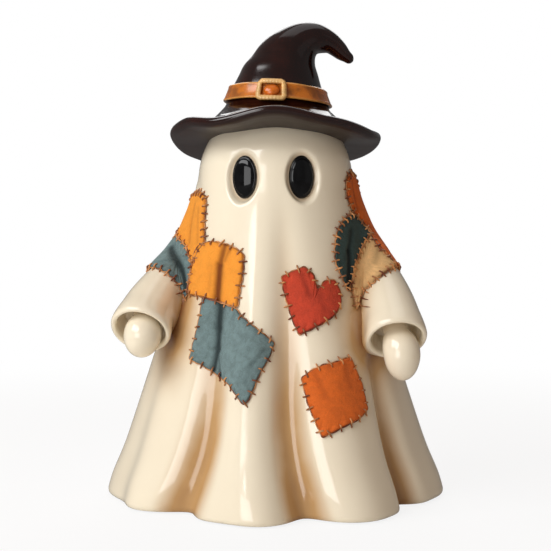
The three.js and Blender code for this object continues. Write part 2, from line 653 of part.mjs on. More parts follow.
// Rim height at an angle, a smooth wave through the heights of BRIM_WAVE.
function brimWave(angle) {
  const step = 360 / BRIM_WAVE.length;
  const place = (((angle % 360) + 360) % 360) / step;
  const i = Math.floor(place);
  const part = (1 - Math.cos(Math.PI * (place - i))) / 2;
  const from = BRIM_WAVE[i % BRIM_WAVE.length];
  const to = BRIM_WAVE[(i + 1) % BRIM_WAVE.length];
  return from + (to - from) * part;
}

// A ring of the brim: radius, height above the rim's level, share of the tilt and share of the wave.
function brimRing({ radius, rise, tilt, wave }) {
  const ring = [];
  for (let i = 0; i < HAT_SIDES; i += 1) {
    const angle = (360 * i) / HAT_SIDES;
    const tipped = BRIM_TILT * tilt * radius * Math.cos(radians(angle));
    ring.push(around(angle, radius, BRIM_LEVEL + rise + tipped + wave * brimWave(angle)));
  }
  return ring;
}

// A ring of the crown, square to the bent spine in the X-Z plane.
function crownRing(index, out = 0) {
  const here = CROWN_SPINE[index];
  const before = CROWN_SPINE[Math.max(index - 1, 0)];
  const after = CROWN_SPINE[Math.min(index + 1, CROWN_SPINE.length - 1)];
  const bend = index < STRAIGHT_ROWS ? 0 : Math.atan2(after.x - before.x, after.rise - before.rise);
  const ring = [];
  for (let i = 0; i < HAT_SIDES; i += 1) {
    const turn = radians((360 * i) / HAT_SIDES);
    const side = (here.radius + out) * Math.sin(turn);
    const y = -(here.radius + out) * Math.cos(turn);
    const level = BRIM_LEVEL + here.rise - side * Math.sin(bend);
    ring.push(new THREE.Vector3(here.x + side * Math.cos(bend), y, level));
  }
  return ring;
}

function witchHat() {
  const rings = BRIM_PROFILE.map(brimRing);
  for (let i = 0; i < CROWN_SPINE.length; i += 1) rings.push(crownRing(i));
  const last = CROWN_SPINE[CROWN_SPINE.length - 1];
  const tip = new THREE.Vector3(last.x + last.radius * 0.9, 0, BRIM_LEVEL + last.rise - last.radius * 0.7);
  const bottom = new THREE.Vector3(0, 0, BRIM_LEVEL + BRIM_PROFILE[0].rise);
  return geometryOf(largest(solid(loft(rings, bottom, tip)).subtract(headBulk(2 * SEAT_GAP))));
}

// Crown radius and centre at a level of the straight lower part.
function crownAt(level) {
  let i = 0;
  while (i + 1 < STRAIGHT_ROWS && BRIM_LEVEL + CROWN_SPINE[i + 1].rise < level) i += 1;
  const low = CROWN_SPINE[i];
  const high = CROWN_SPINE[i + 1];
  const part = (level - BRIM_LEVEL - low.rise) / (high.rise - low.rise);
  return { x: low.x + (high.x - low.x) * part, radius: low.radius + (high.radius - low.radius) * part };
}

// A point out from the crown's face. Its level leans with the band.
function crownPoint(angle, level, out) {
  const leaning = level - BAND_LEAN * Math.sin(radians(angle));
  const { x, radius } = crownAt(leaning);
  const point = around(angle, radius + out, leaning);
  point.x += x;
  return point;
}

function hatBand() {
  const top = BAND_BOTTOM + BAND_HEIGHT;
  const outline = [
    [BAND_BOTTOM, SEAT_GAP], [BAND_BOTTOM, SEAT_GAP + BAND_THICKNESS - BAND_BEVEL],
    [BAND_BOTTOM + BAND_BEVEL, SEAT_GAP + BAND_THICKNESS], [top - BAND_BEVEL, SEAT_GAP + BAND_THICKNESS],
    [top, SEAT_GAP + BAND_THICKNESS - BAND_BEVEL], [top, SEAT_GAP],
  ];
  return loop(outline.map(([level, out]) => {
    const ring = [];
    for (let i = 0; i < HAT_SIDES; i += 1) ring.push(crownPoint((360 * i) / HAT_SIDES, level, out));
    return ring;
  }));
}

// Points round a rounded rectangle, corner arcs of the given radius.
function roundedRectangle(width, height, corner, steps) {
  const points = [];
  const centres = [[1, 1], [-1, 1], [-1, -1], [1, -1]];
  centres.forEach(([sx, sy], quarter) => {
    for (let i = 0; i <= steps; i += 1) {
      const turn = radians(90 * quarter + (90 * i) / steps);
      points.push([
        sx * (width / 2 - corner) + corner * Math.cos(turn),
        sy * (height / 2 - corner) + corner * Math.sin(turn),
      ]);
    }
  });
  return points;
}

// A point of the buckle: across and up on the band's face, out from it.
function bucklePoint(across, up, out) {
  const level = BAND_BOTTOM + BAND_HEIGHT / 2 + up;
  const { radius } = crownAt(BAND_BOTTOM + BAND_HEIGHT / 2);
  const stand = 2 * SEAT_GAP + BAND_THICKNESS + out;
  const angle = BUCKLE_ANGLE + (across / (radius + stand)) * (180 / Math.PI);
  return crownPoint(angle, level, stand + Math.abs(up) * 0.02);
}

function buckleFrame() {
  const inset = BUCKLE_BAR;
  const profile = [
    [0, 0], [-0.2, BUCKLE_THICKNESS * 0.6], [0.8, BUCKLE_THICKNESS], [inset - 0.8, BUCKLE_THICKNESS],
    [inset, BUCKLE_THICKNESS * 0.6], [inset, 0],
  ];
  const corner = (inward) => Math.max(BUCKLE_CORNER - inward / 2, 0.8);
  return loop(profile.map(([inward, out]) =>
    roundedRectangle(BUCKLE_WIDTH - 2 * inward, BUCKLE_HEIGHT - 2 * inward, corner(inward), 3)
      .map(([across, up]) => bucklePoint(across, up, out))));
}

function buckleStud() {
  const rings = [];
  for (let step = 0; step <= 4; step += 1) {
    const turn = radians(20 * step);
    const ring = [];
    for (let i = 0; i < 20; i += 1) {
      const place = (2 * Math.PI * i) / 20;
      const radius = STUD_RADIUS * Math.cos(turn);
      const rise = STUD_HEIGHT * Math.sin(turn);
      ring.push(bucklePoint(radius * Math.cos(place), radius * Math.sin(place), rise));
    }
    rings.push(ring);
  }
  return loft(rings, bucklePoint(0, 0, 0), bucklePoint(0, 0, STUD_HEIGHT));
}

// Felt patches

const PRESS_START = 2 * HEAD_RADIUS + 30; // clear of the figure
const PRESS_STEPS = 40;
const PRESS_SHARE = 0.85;

// Where a sleeve's centreline passes a level.
function sleeveMiddle(side, level) {
  const samples = sleeveSamples[side];
  const next = Math.max(samples.findIndex(({ point }) => point.z <= level), 1);
  const [from, to] = [samples[next - 1].point, samples[next].point];
  return from.clone().lerp(to, (from.z - level) / (from.z - to.z)).setZ(level);
}

// The point where a line through a place on a patch meets the body grown by offset. The line comes in along
// the patch's facing, or fans out from beside the middle of the sleeve that the patch is wrapped round.
function pressed({ facing, round }, [across, below], offset) {
  const turn = round ? across / GIRTH_RADIUS : radians(facing);
  const out = new THREE.Vector3(Math.sin(turn), -Math.cos(turn), 0);
  const plane = new THREE.Vector3(Math.cos(turn), Math.sin(turn), 0);
  const level = HEAD_HEIGHT - below;
  const start = plane.multiplyScalar(across).addScaledVector(out, PRESS_START).setZ(level);
  const shrink = new THREE.Vector3(1 - FAN_SHARE, 1 - FAN_SHARE, 1);
  const point = round ? sleeveMiddle(round, level).multiply(shrink) : start;
  for (let i = 0; i < PRESS_STEPS; i += 1) {
    point.addScaledVector(out, (offset - bodyDistance(point)) * PRESS_SHARE);
  }
  return point;
}

function subdivided(outline, step) {
  const points = [];
  outline.forEach((from, i) => {
    const to = outline[(i + 1) % outline.length];
    const count = Math.max(1, Math.round(Math.hypot(to[0] - from[0], to[1] - from[1]) / step));
    for (let k = 0; k < count; k += 1) {
      points.push([from[0] + ((to[0] - from[0]) * k) / count, from[1] + ((to[1] - from[1]) * k) / count]);
    }
  });
  return points;
}

function patch(sheet) {
  const { centre, outline } = sheet;
  const edge = subdivided(outline, FELT_STEP);
  const reach = Math.max(...edge.map(([across, below]) => Math.hypot(across - centre[0], below - centre[1])));
  const count = Math.ceil(reach / FELT_RING);
  const shrunk = ([across, below], share) =>
    [centre[0] + (across - centre[0]) * share, centre[1] + (below - centre[1]) * share];
  const ringAt = (share, offset) => edge.map((place) => pressed(sheet, shrunk(place, share), offset));
  const rings = [];
  for (let r = 1; r <= count; r += 1) rings.push(ringAt(r / count, FELT_LIFT));
  for (let r = count; r >= 1; r -= 1) rings.push(ringAt(r / count, FELT_LIFT + FELT));
  const under = pressed(sheet, centre, FELT_LIFT);
  const over = pressed(sheet, centre, FELT_LIFT + FELT);
  let felt = solid(loft(rings, under, over)).subtract(robeBulk(SEAT_GAP));
  for (const side of Object.keys(SLEEVES)) felt = felt.subtract(sleeveBulk(side, SEAT_GAP));
  return geometryOf(largest(felt));
}

// Base plate

const BOX_LENGTH = CELL_LENGTH + CONTACT_ROOM + PLATE_ROOM; // inside, along X
const BOX_SOUTH = -DOOR_WIDTH / 2 + DOOR_LIP; // inside faces along Y
const BOX_NORTH = DOOR_WIDTH / 2 + HINGE_ROOM;
const LATCH_AT = [0, -DOOR_WIDTH / 2 - LATCH_REACH];

function plateRing(level) {
  const ring = [];
  for (let i = 0; i < PLATE_SIDES; i += 1) {
    const angle = (360 * i) / PLATE_SIDES;
    const high = Math.min(robeRadius(angle, LEDGE), robeRadius(angle, HEM_LIFT));
    ring.push(around(angle, high - RIM_WALL - 2 * SEAT_GAP, level));
  }
  return ring;
}

// The door's outline grown by a clearance: a rectangle and the round ear for its screw.
function doorBlock(grow, bottom, height) {
  const level = bottom + height / 2;
  const [x, y] = LATCH_AT;
  const edge = -DOOR_WIDTH / 2;
  const panel = box(DOOR_LENGTH + 2 * grow, DOOR_WIDTH + 2 * grow, height, [0, 0, level]);
  const ear = post(LATCH_RADIUS + grow, height, [x, y, bottom], 20);
  const reach = edge - y + OVERCUT;
  const web = box(2 * (LATCH_RADIUS + grow), reach, height, [x, y + reach / 2, level]);
  return solid(panel).add(solid(ear)).add(solid(web));
}

// Hole and countersunk pocket for a screw that goes up through the plate or the door.
function screwHole(x, y) {
  const shank = post(SCREW_SHANK + SLIDE_GAP, LEDGE + OVERCUT, [x, y, 0], 12);
  const from = [x, y, PLATE_BOTTOM - OVERCUT];
  const pocket = post(SCREW_HEAD + SLIDE_GAP, SCREW_HEAD_HEIGHT + OVERCUT, from, 16);
  return solid(shank).add(solid(pocket));
}

// Room for the knob of the switch over its travel.
function knobSlot(bottom, height) {
  const wide = KNOB.x + 2 * SLIDE_GAP;
  const long = KNOB.y + SWITCH_TRAVEL + 2 * SLIDE_GAP;
  return solid(box(wide, long, height, [SWITCH_AT.x, SWITCH_AT.y, bottom + height / 2]));
}

function basePlate() {
  const rings = [plateRing(PLATE_BOTTOM), plateRing(DOOR_TOP)];
  let plate = solid(loft(rings, new THREE.Vector3(0, 0, PLATE_BOTTOM), new THREE.Vector3(0, 0, DOOR_TOP)));
  plate = plate.subtract(doorBlock(SLIDE_GAP, PLATE_BOTTOM - OVERCUT, PLATE_THICKNESS + 2 * OVERCUT));
  for (const angle of SCREW_ANGLES) {
    const at = bossCentre(angle);
    plate = plate.subtract(screwHole(at.x, at.y));
  }
  return geometryOf(plate.subtract(knobSlot(PLATE_BOTTOM - OVERCUT, PLATE_THICKNESS + 2 * OVERCUT)));
}

// A headed screw, head down, its head sunk in a pocket of the plate or the door.
function screw(x, y, length) {
  const head = PLATE_BOTTOM - SEAT_GAP;
  const under = head + SCREW_HEAD_HEIGHT;
  const top = under + length;
  const profile = [
    [0, head], [SCREW_HEAD - EDGE, head], [SCREW_HEAD, head + EDGE], [SCREW_HEAD, under],
    [SCREW_SHANK, under],
    [SCREW_SHANK, top - SCREW_SHANK], [SCREW_SHANK / 4, top], [0, top],
  ];
  return turned(profile, 12).translate(x, y, 0);
}

function baseScrew(angle) {
  const at = bossCentre(angle);
  return screw(at.x, at.y, SCREW_LENGTH);
}

function rubberFoot(angle) {
  const at = around(angle, FOOT_CIRCLE, 0);
  const top = PLATE_BOTTOM - SEAT_GAP;
  const profile = [[0, 0], [FOOT_RADIUS - EDGE, 0], [FOOT_RADIUS, EDGE], [FOOT_RADIUS, top], [0, top]];
  return turned(profile, 16).translate(at.x, at.y, 0);
}

// Battery box, door, cells and contacts

const insideLow = -BOX_LENGTH / 2;
const insideHigh = BOX_LENGTH / 2;
const cellRow = (i) => (i - (CELL_COUNT - 1) / 2) * CELL_PITCH;
const cellWay = (i) => (i % 2 === 0 ? 1 : -1);

function batteryBox() {
  const height = BOX_TOP - LEDGE;
  const middleY = (BOX_SOUTH + BOX_NORTH) / 2;
  const deep = BOX_NORTH - BOX_SOUTH;
  const [x, y] = LATCH_AT;
  const outside = [BOX_LENGTH + 2 * (BOX_WALL + BOX_END), deep + 2 * BOX_WALL, height];
  const boss = post(LATCH_RADIUS, DOOR_SCREW_LENGTH + BOX_WALL, [x, y, LEDGE], 20);
  const room = box(BOX_LENGTH, deep, BOX_ROOF, [0, middleY, BOX_ROOF / 2]);
  const pilot = post(SCREW_SHANK + SLIDE_GAP, DOOR_SCREW_LENGTH + OVERCUT, [x, y, LEDGE - OVERCUT], 12);
  const wireHole = post(PILLAR_BORE - OVERCUT, BOX_WALL + 2 * OVERCUT, [0, 0, BOX_ROOF - OVERCUT], 16);
  const body = solid(box(...outside, [0, middleY, LEDGE + height / 2])).add(solid(boss));
  return geometryOf(body.subtract(solid(room)).subtract(solid(pilot)).subtract(solid(wireHole)));
}

function batteryDoor() {
  let door = doorBlock(0, PLATE_BOTTOM, PLATE_THICKNESS);
  const edge = DOOR_WIDTH / 2;
  const tabLevel = DOOR_TOP + SEAT_GAP + TAB_THICKNESS / 2;
  const rootHeight = SEAT_GAP + TAB_THICKNESS + OVERCUT;
  for (const x of [-TAB_OFFSET, TAB_OFFSET]) {
    const rootAt = [x, edge - TAB_ROOT / 2, DOOR_TOP - OVERCUT + rootHeight / 2];
    const root = box(TAB_WIDTH, TAB_ROOT, rootHeight, rootAt);
    const tab = box(TAB_WIDTH, TAB_REACH, TAB_THICKNESS, [x, edge - OVERCUT + TAB_REACH / 2, tabLevel]);
    door = door.add(solid(root)).add(solid(tab));
  }
  return geometryOf(door.subtract(screwHole(...LATCH_AT)));
}

function doorScrew() {
  return screw(...LATCH_AT, DOOR_SCREW_LENGTH);
}

// Every other cell lies the other way round. The nub end is away from the spring.
function battery(index) {
  const shoulder = CELL_LENGTH - NUB_HEIGHT;
  const profile = [
    [0, 0], [CELL_RADIUS - EDGE, 0], [CELL_RADIUS, EDGE], [CELL_RADIUS, shoulder - EDGE],
    [CELL_RADIUS - EDGE, shoulder], [NUB_RADIUS, shoulder], [NUB_RADIUS, CELL_LENGTH], [0, CELL_LENGTH],
  ];
  const way = cellWay(index);
  const shape = turned(profile, 14).rotateY((way * Math.PI) / 2);
  return shape.translate(way * (insideLow + CONTACT_ROOM), cellRow(index), CELL_LEVEL);
}

// Centreline of the spring against the flat end of a cell, narrower towards the cell.
function coilPoints(index) {
  const perTurn = 10;
  const start = insideLow + SEAT_GAP + COIL_WIRE;
  const room = CONTACT_ROOM - 2 * (SEAT_GAP + COIL_WIRE);
  const points = [];
  for (let i = 0; i <= COIL_TURNS * perTurn; i += 1) {
    const part = i / (COIL_TURNS * perTurn);
    const turn = (2 * Math.PI * i) / perTurn;
    const radius = COIL_WIDE + (COIL_NARROW - COIL_WIDE) * part;
    const y = cellRow(index) + radius * Math.cos(turn);
    points.push([cellWay(index) * (start + room * part), y, CELL_LEVEL + radius * Math.sin(turn)]);
  }
  return points;
}

// Least gap between the turns of a coil, over points at least half a turn apart.
function leastGap(points, wire) {
  const apart = Math.floor(points.length / (2 * COIL_TURNS));
  let least = Infinity;
  points.forEach((p, i) => {
    for (let k = i + apart; k < points.length; k += 1) {
      least = Math.min(least, Math.hypot(p[0] - points[k][0], p[1] - points[k][1], p[2] - points[k][2]));
    }
  });
  return least - 2 * wire;
}

function contactSpring(index) {
  const points = coilPoints(index);
  return tube(points, COIL_WIRE, 5, points.length - 1);
}

// Sprung plate at the nub end of each cell.
function contactPlate(index) {
  const x = cellWay(index) * (insideHigh - PLATE_ROOM / 2);
  return box(PLATE_ROOM - 2 * SEAT_GAP, PLATE_SIDE, PLATE_SIDE, [x, cellRow(index), CELL_LEVEL]);
}

// Switch

function switchBody() {
  const { x, y, z } = SWITCH_BODY;
  const body = solid(box(x, y, z, [SWITCH_AT.x, SWITCH_AT.y, LEDGE + z / 2]));
  return geometryOf(body.subtract(knobSlot(LEDGE - OVERCUT, KNOB.inside + SLIDE_GAP + OVERCUT)));
}

// Knob of the slide switch, stored at one end of its travel, with grip grooves across its face.
function switchSlider() {
  const bottom = PLATE_BOTTOM - KNOB_PROUD;
  const height = LEDGE + KNOB.inside - bottom;
  const y = SWITCH_AT.y - SWITCH_TRAVEL / 2;
  let knob = solid(box(KNOB.x, KNOB.y, height, [SWITCH_AT.x, y, bottom + height / 2]));
  for (const place of [-GROOVE.pitch, 0, GROOVE.pitch]) {
    const groove = box(KNOB.x + OVERCUT, GROOVE.width, 2 * GROOVE.depth, [SWITCH_AT.x, y + place, bottom]);
    knob = knob.subtract(solid(groove));
  }
  return geometryOf(knob);
}

// Light

const PILLAR_FOOT = BOX_TOP + SEAT_GAP;
const PILLAR_TOP = PILLAR_FOOT + PILLAR_HEIGHT;
const BOARD_BOTTOM = PILLAR_TOP + SEAT_GAP;
const BOARD_TOP = BOARD_BOTTOM + BOARD_THICKNESS;

function ledPillar() {
  const profile = [
    [PILLAR_BORE, PILLAR_FOOT], [FLANGE_RADIUS, PILLAR_FOOT], [FLANGE_RADIUS, PILLAR_FOOT + FLANGE_THICKNESS],
    [PILLAR_RADIUS, PILLAR_FOOT + FLANGE_THICKNESS + FLANGE_TAPER],
    [PILLAR_RADIUS, PILLAR_TOP - FLANGE_THICKNESS - FLANGE_TAPER],
    [FLANGE_RADIUS, PILLAR_TOP - FLANGE_THICKNESS], [FLANGE_RADIUS, PILLAR_TOP], [PILLAR_BORE, PILLAR_TOP],
    [PILLAR_BORE, PILLAR_FOOT],
  ];
  return turned(profile, 16);
}

function ledBoard() {
  return post(BOARD_RADIUS, BOARD_THICKNESS, [0, 0, BOARD_BOTTOM], 28);
}

// Points of a quarter arc from the side to the axis, for a turned dome.
function dome(radius, bottom, facets) {
  const points = [];
  for (let i = 0; i < facets; i += 1) {
    const turn = radians((90 * i) / facets);
    points.push([radius * Math.cos(turn), bottom + radius * Math.sin(turn)]);
  }
  return [...points, [0, bottom + radius]];
}

function led(index) {
  const at = around((360 / LED_COUNT) * index, LED_CIRCLE, BOARD_TOP + SEAT_GAP);
  const flange = LED_RADIUS + LED_FLANGE;
  const profile = [[0, 0], [flange, 0], [flange, 2 * EDGE], [LED_RADIUS, 2 * EDGE]];
  const lens = dome(LED_RADIUS, LED_HEIGHT - LED_RADIUS, 3);
  return turned([...profile, ...lens], 12).translate(at.x, at.y, at.z);
}

// Frosted cap over the lamps, standing on the pillar's head.
function lightDiffuser() {
  const bottom = PILLAR_TOP + SEAT_GAP;
  const spring = bottom + DIFFUSER_HEIGHT - FLANGE_RADIUS;
  const inner = FLANGE_RADIUS - DIFFUSER_WALL;
  const outside = [[inner, bottom], [FLANGE_RADIUS, bottom], ...dome(FLANGE_RADIUS, spring, DIFFUSER_ARC)];
  const inside = [...dome(inner, spring, DIFFUSER_ARC).reverse(), [inner, bottom]];
  return turned([...outside, ...inside], 16);
}

// Leads from the roof of the battery box up the pillar's bore to the board.
function lead(side) {
  const x = side * WIRE_APART;
  const ends = [BOX_ROOF + SEAT_GAP, BOARD_BOTTOM - SEAT_GAP];
  return tube(ends.map((height) => [x, 0, height]), WIRE_RADIUS, 6, 1);
}

// Assembly

const springGap = Math.min(...[0, 1, 2].map((i) => leastGap(coilPoints(i), COIL_WIRE)));
console.log(`least gap between the turns of a contact spring: ${springGap.toFixed(2)} mm`);

const glaze = { colour: '#efe2c8', roughness: 0.16 };
const ghost = new THREE.Group();

function place(name, geometry, color, roughness, metalness = 0) {
  const mesh = new THREE.Mesh(geometry, new THREE.MeshStandardMaterial({ color, roughness, metalness }));
  mesh.name = name;
  ghost.add(mesh);
}

place('robe_shell', robeShell(), glaze.colour, glaze.roughness);
for (const side of ['left', 'right']) {
  place(`${side}_sleeve`, sleeve(side), glaze.colour, glaze.roughness);
  place(`${side}_hand`, hand(side), glaze.colour, glaze.roughness);
  place(`${side}_eye`, eye(side), '#050505', 0.06);
}
place('witch_hat', witchHat(), '#24100a', 0.22);
place('hat_band', hatBand(), '#c9741c', 0.3);
place('buckle_frame', buckleFrame(), '#e3a04a', 0.28);
place('buckle_stud', buckleStud(), '#c4611a', 0.3);
for (const [name, shape] of Object.entries(PATCHES)) {
  place(name, patch(shape), shape.colour, 0.95);
}
place('base_plate', basePlate(), '#1f1f1e', 0.5);
SCREW_ANGLES.forEach((angle, i) => place(`base_screw_${i + 1}`, baseScrew(angle), '#a9a9a4', 0.35, 1));
FOOT_ANGLES.forEach((angle, i) => place(`rubber_foot_${i + 1}`, rubberFoot(angle), '#2b2b2b', 0.85));
place('battery_box', batteryBox(), '#1f1f1e', 0.5);
place('battery_door', batteryDoor(), '#1f1f1e', 0.5);
place('door_screw', doorScrew(), '#a9a9a4', 0.35, 1);
for (let i = 0; i < CELL_COUNT; i += 1) {
  place(`battery_${i + 1}`, battery(i), '#3b3d40', 0.35, 0.4);
  place(`contact_spring_${i + 1}`, contactSpring(i), '#b9bbb8', 0.3, 1);
  place(`contact_plate_${i + 1}`, contactPlate(i), '#b9bbb8', 0.3, 1);
}
place('switch_body', switchBody(), '#8f9296', 0.4, 0.8);
place('switch_slider', switchSlider(), '#1c1c1e', 0.5);
place('led_pillar', ledPillar(), '#f1ede2', 0.5);
place('led_board', ledBoard(), '#2f5d3a', 0.5);
for (let i = 0; i < LED_COUNT; i += 1) place(`led_${i + 1}`, led(i), '#f4e3b0', 0.15);
place('light_diffuser', lightDiffuser(), '#f4efe2', 0.6);
place('red_wire', lead(1), '#a3221b', 0.5);
place('black_wire', lead(-1), '#1a1a1a', 0.5);

export default ghost;
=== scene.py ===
"""Light-up patchwork ghost: glazed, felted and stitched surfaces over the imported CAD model.

Every new piece is a surface worked out with numpy on a grid of two parameters and put straight into a mesh.
Left and right are the viewer's. Angles round the figure are from the front, positive to the right.
"""

import bpy
import numpy as np
from bpy.props import FloatProperty, FloatVectorProperty, PointerProperty
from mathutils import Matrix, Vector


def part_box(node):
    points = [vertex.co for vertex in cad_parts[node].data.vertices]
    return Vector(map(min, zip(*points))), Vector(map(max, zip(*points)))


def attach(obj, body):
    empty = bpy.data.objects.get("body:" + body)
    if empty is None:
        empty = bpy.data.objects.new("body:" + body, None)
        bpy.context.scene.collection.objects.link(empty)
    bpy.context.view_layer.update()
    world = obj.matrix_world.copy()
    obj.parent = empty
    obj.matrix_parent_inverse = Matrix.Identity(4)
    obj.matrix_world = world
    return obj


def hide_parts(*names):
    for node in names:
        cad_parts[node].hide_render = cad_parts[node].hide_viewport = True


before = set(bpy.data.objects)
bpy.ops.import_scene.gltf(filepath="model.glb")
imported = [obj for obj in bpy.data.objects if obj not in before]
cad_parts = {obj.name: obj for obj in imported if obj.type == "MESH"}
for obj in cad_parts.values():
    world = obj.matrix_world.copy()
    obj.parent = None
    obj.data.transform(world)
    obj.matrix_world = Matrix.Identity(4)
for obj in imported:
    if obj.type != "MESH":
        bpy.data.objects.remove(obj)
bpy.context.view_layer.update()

bl_info = {
    "name": "Light-up patchwork ghost",
    "version": (1, 0, 0),
    "blender": (4, 5, 0),
    "location": "3D View > Sidebar > Ghost",
    "description": "Dresses the packed ghost in glaze, felt and blanket stitch, and lights it",
    "category": "Add Mesh",
}

MM = 0.001

# Stage: lengths in metres
FLOOR_SHINE = 0.86  # share of the floor that shows white to the camera, the rest takes the shadow
FLOOR_FADE = (0.25, 0.8)  # between these distances the floor goes over to plain white
FLOOR_RINGS = (0.02, 1, 5)
FLOOR_COLUMNS = 96
WALL_SHINE = 0.15  # how bright the room is in reflections
LAMP_TARGET = (0, 0, 0.12)
LAMPS = {  # place, width and height
    "key": ((-0.77, -0.62, 0.90), 1.0, 0.55),
    "low": ((-0.55, -1.0, 0.2), 0.6, 0.7),
    "fill": ((1.05, -0.55, 0.45), 0.6, 0.8),
    "top": ((0.1, 0.1, 1.15), 0.7, 0.7),
    "back": ((0.1, 0.95, 0.95), 0.9, 0.7),
}
CAMERA_PLACE = (0, -0.63, 0.127)
CAMERA_PITCH = 1.08  # degrees down
CAMERA_LENS = 77.7  # millimetres
WHITE = (1, 1, 1, 1)

# Rows and columns of the grids
ROBE_COLUMNS = 300
FRONT_CROWDING = 0.32  # how much closer together the robe's columns stand at the front
HOLLOW_DOME_ROWS = 14
HOLLOW_ROWS = 24
HEM_ROWS = 9
ROBE_ROWS = 165
DOME_ROWS = 62
SLEEVE_COLUMNS = 112
SLEEVE_ROWS = 84
CUFF_RIM_ROWS = 18
CUFF_ROWS = 14
HAND_COLUMNS = 64
HAND_ROWS = 70
EYE_COLUMNS = 72
EYE_ROWS = 26
HAT_COLUMNS = 220
HAT_ROWS = 260
BAND_COLUMNS = 240
BAND_SIDES = 40
BUCKLE_CORNER_POINTS = 80
BUCKLE_SIDES = 20
STUD_COLUMNS = 48
STUD_ROWS = 18
FELT_ROWS = 30
STITCH_ROWS = 11
THREAD_COLUMNS = 8

# Painted shade in the glaze, a brown laid where shade falls, as a share of full: in folds, with the depth at
# which it is full, and beside the joint of sleeve and robe, with the distance over which it fades
FOLD_PAINTED_SHADE = ((0.25, 4 * MM), (0.95, 10 * MM))
# Painted shade as well in the eye sockets, inside the cuffs and on the hands' necks
SOCKET_PAINTED_SHADE = 0.45
ARMPIT_PAINTED_SHADE = (2.4, 8 * MM)
SLEEVE_PAINTED_SHADE = (1.6, 4 * MM)
CUFF_PAINTED_SHADE = 0.2
HAND_PAINTED_SHADE = 0.35
# Beyond 1 the painted shade deepens into a painted shadow, as in the gap under a sleeve
FULL_PAINTED_SHADE = 2  # beyond 1 it goes over to a deeper brown

# Robe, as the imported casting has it
HEAD_RADIUS = 40.5 * MM
HEAD_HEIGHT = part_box("robe_shell")[1].z - HEAD_RADIUS
HEM_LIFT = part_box("robe_shell")[0].z
ROBE_SPREAD = 0.28
ROBE_SLOPE = 0.93  # cosine of its slope from upright
SHOULDER_EASE = 22 * MM
HEM_FLARE = 1.5 * MM
HEM_FLARE_HEIGHT = 10 * MM
HEM_FLARE_BAND = 12 * MM
HEM_ROUND = 2.2 * MM
HEM_CURL = 3 * MM
HEM_TOP = HEM_CURL + 1 * MM
FACE_START = HEM_CURL + 1.4 * MM
RIM_END = HEM_LIFT + 0.4 * MM
FACE_CROWDING = 14 * MM  # the face's rows stand closer together this near the head's centre
RIM_WALL = 2.6 * MM
ROBE_WALL = 4.5 * MM
LEDGE = 4.9 * MM
FOLD_GROWTH = 1.3
FOLD_TURN = 60 * MM

# Drape folds: angle high up and at the hem, half width in degrees, depth at the hem (negative is a valley)
# and the height at which the fold begins, in millimetres.
FOLDS = (
    (-90, -90, 16, 7, 150),
    (-58, -58, 8, 3.5, 110),
    (-29, -38, 8.5, -12, 150),
    (-11, -6, 10, 5, 160),
    (5, 12, 8, -12, 168),
    (27, 32, 12, 6, 150),
    (54, 57, 6, -12, 105),
    (90, 88, 15, 7, 150),
    (118, 118, 11, -8, 150),
    (140, 142, 12, 6, 150),
    (163, 166, 10, -9, 150),
    (-172, -170, 13, 5.5, 150),
    (-146, -146, 10, -9, 150),
    (-120, -122, 11, 5, 150),
)

# Sleeves: centreline from inside the shoulder to the cuff, and how the radius grows along it
SLEEVES = {
    "left": MM * np.array([(-30.6, 0, 158), (-45, 0, 113.2), (-60.9, -14.8, 111.7), (-66.8, -38.8, 89.8)]),
    "right": MM * np.array([(32, 0, 158), (44.1, 0, 119.5), (56.8, -16.1, 115.4), (59.5, -43.5, 85.8)]),
}
SHOULDER_LEVEL = 140 * MM  # the wash under the sleeves starts here
ARMPIT_LEVEL = 112 * MM  # and is full from here down
SLEEVE_START = 0.02  # share of the centreline
SLEEVE_START_RADIUS = 9.8 * MM
SLEEVE_CUFF_RADIUS = 14.6 * MM
SLEEVE_SWELL = 1.1
CUFF_WALL = 3 * MM
CUFF_ROLL = 0.8 * MM
CUFF_DEPTH = 9 * MM
CUFF_BULGE = 2.4 * MM
CUFF_DRAFT = 1.2 * MM

# Hands: centre from the middle of the cuff's mouth, lean, radius and length
HANDS = {
    "left": (MM * np.array((1, -3, -3)), np.array((-0.1, -0.4, -1)), 9.3 * MM, 23.4 * MM),
    "right": (MM * np.array((2.4, -3.5, -7.4)), np.array((0.05, -0.2, -1)), 9.1 * MM, 28 * MM),
}
HAND_NECK = 6.5 * MM
HAND_SEAT = 0.3 * MM

# Eyes
EYE_WIDTH = 13.4 * MM
EYE_HEIGHT = 21.6 * MM
EYE_DEPTH = 3.4 * MM
EYE_EDGE = 0.8 * MM
EYE_SINK = 0.4 * MM
EYE_GROOVE = 0.28 * MM
SOCKET_RIM = 3.4 * MM
SOCKET_DEPTH = 3.3 * MM
SOCKET_REACH = 12 * MM  # a socket presses only points less far behind the eye's centre

# Hat
BRIM_RADIUS = HEAD_RADIUS + 15 * MM
BRIM_LEVEL = HEAD_HEIGHT + 20.5 * MM
BRIM_TILT = 0.172
# The brim from under the head round its rolled edge and up to the crown: distance in from the rim, height
# above the rim's level, both in millimetres, and the shares of the brim's tilt and wave that it takes there.
BRIM_PROFILE = (
    (29, -2, 1, 0.1),
    (19.5, -2.3, 1, 0.3),
    (9.5, -2.7, 1, 0.6),
    (4.4, -2.6, 1, 0.85),
    (2.2, -2.3, 1, 0.95),
    (0.8, -1.5, 1, 1),
    (0, 0.2, 1, 1),
    (0.6, 1.8, 1, 1),
    (2.2, 2.7, 1, 0.95),
    (5.5, 2.6, 1, 0.8),
    (12.5, 4.1, 1, 0.4),
    (19, 7, 0.8, 0.1),
    (23.8, 11.8, 0.45, 0),
    (26.8, 15.2, 0.18, 0),
)
# Height of the rim every 30 degrees, from the front
BRIM_WAVE = MM * np.array([0.3, -3, -3.5, 0, -0.3, 0.5, 0, -0.8, 0.2, 2, 1.2, -3.3])
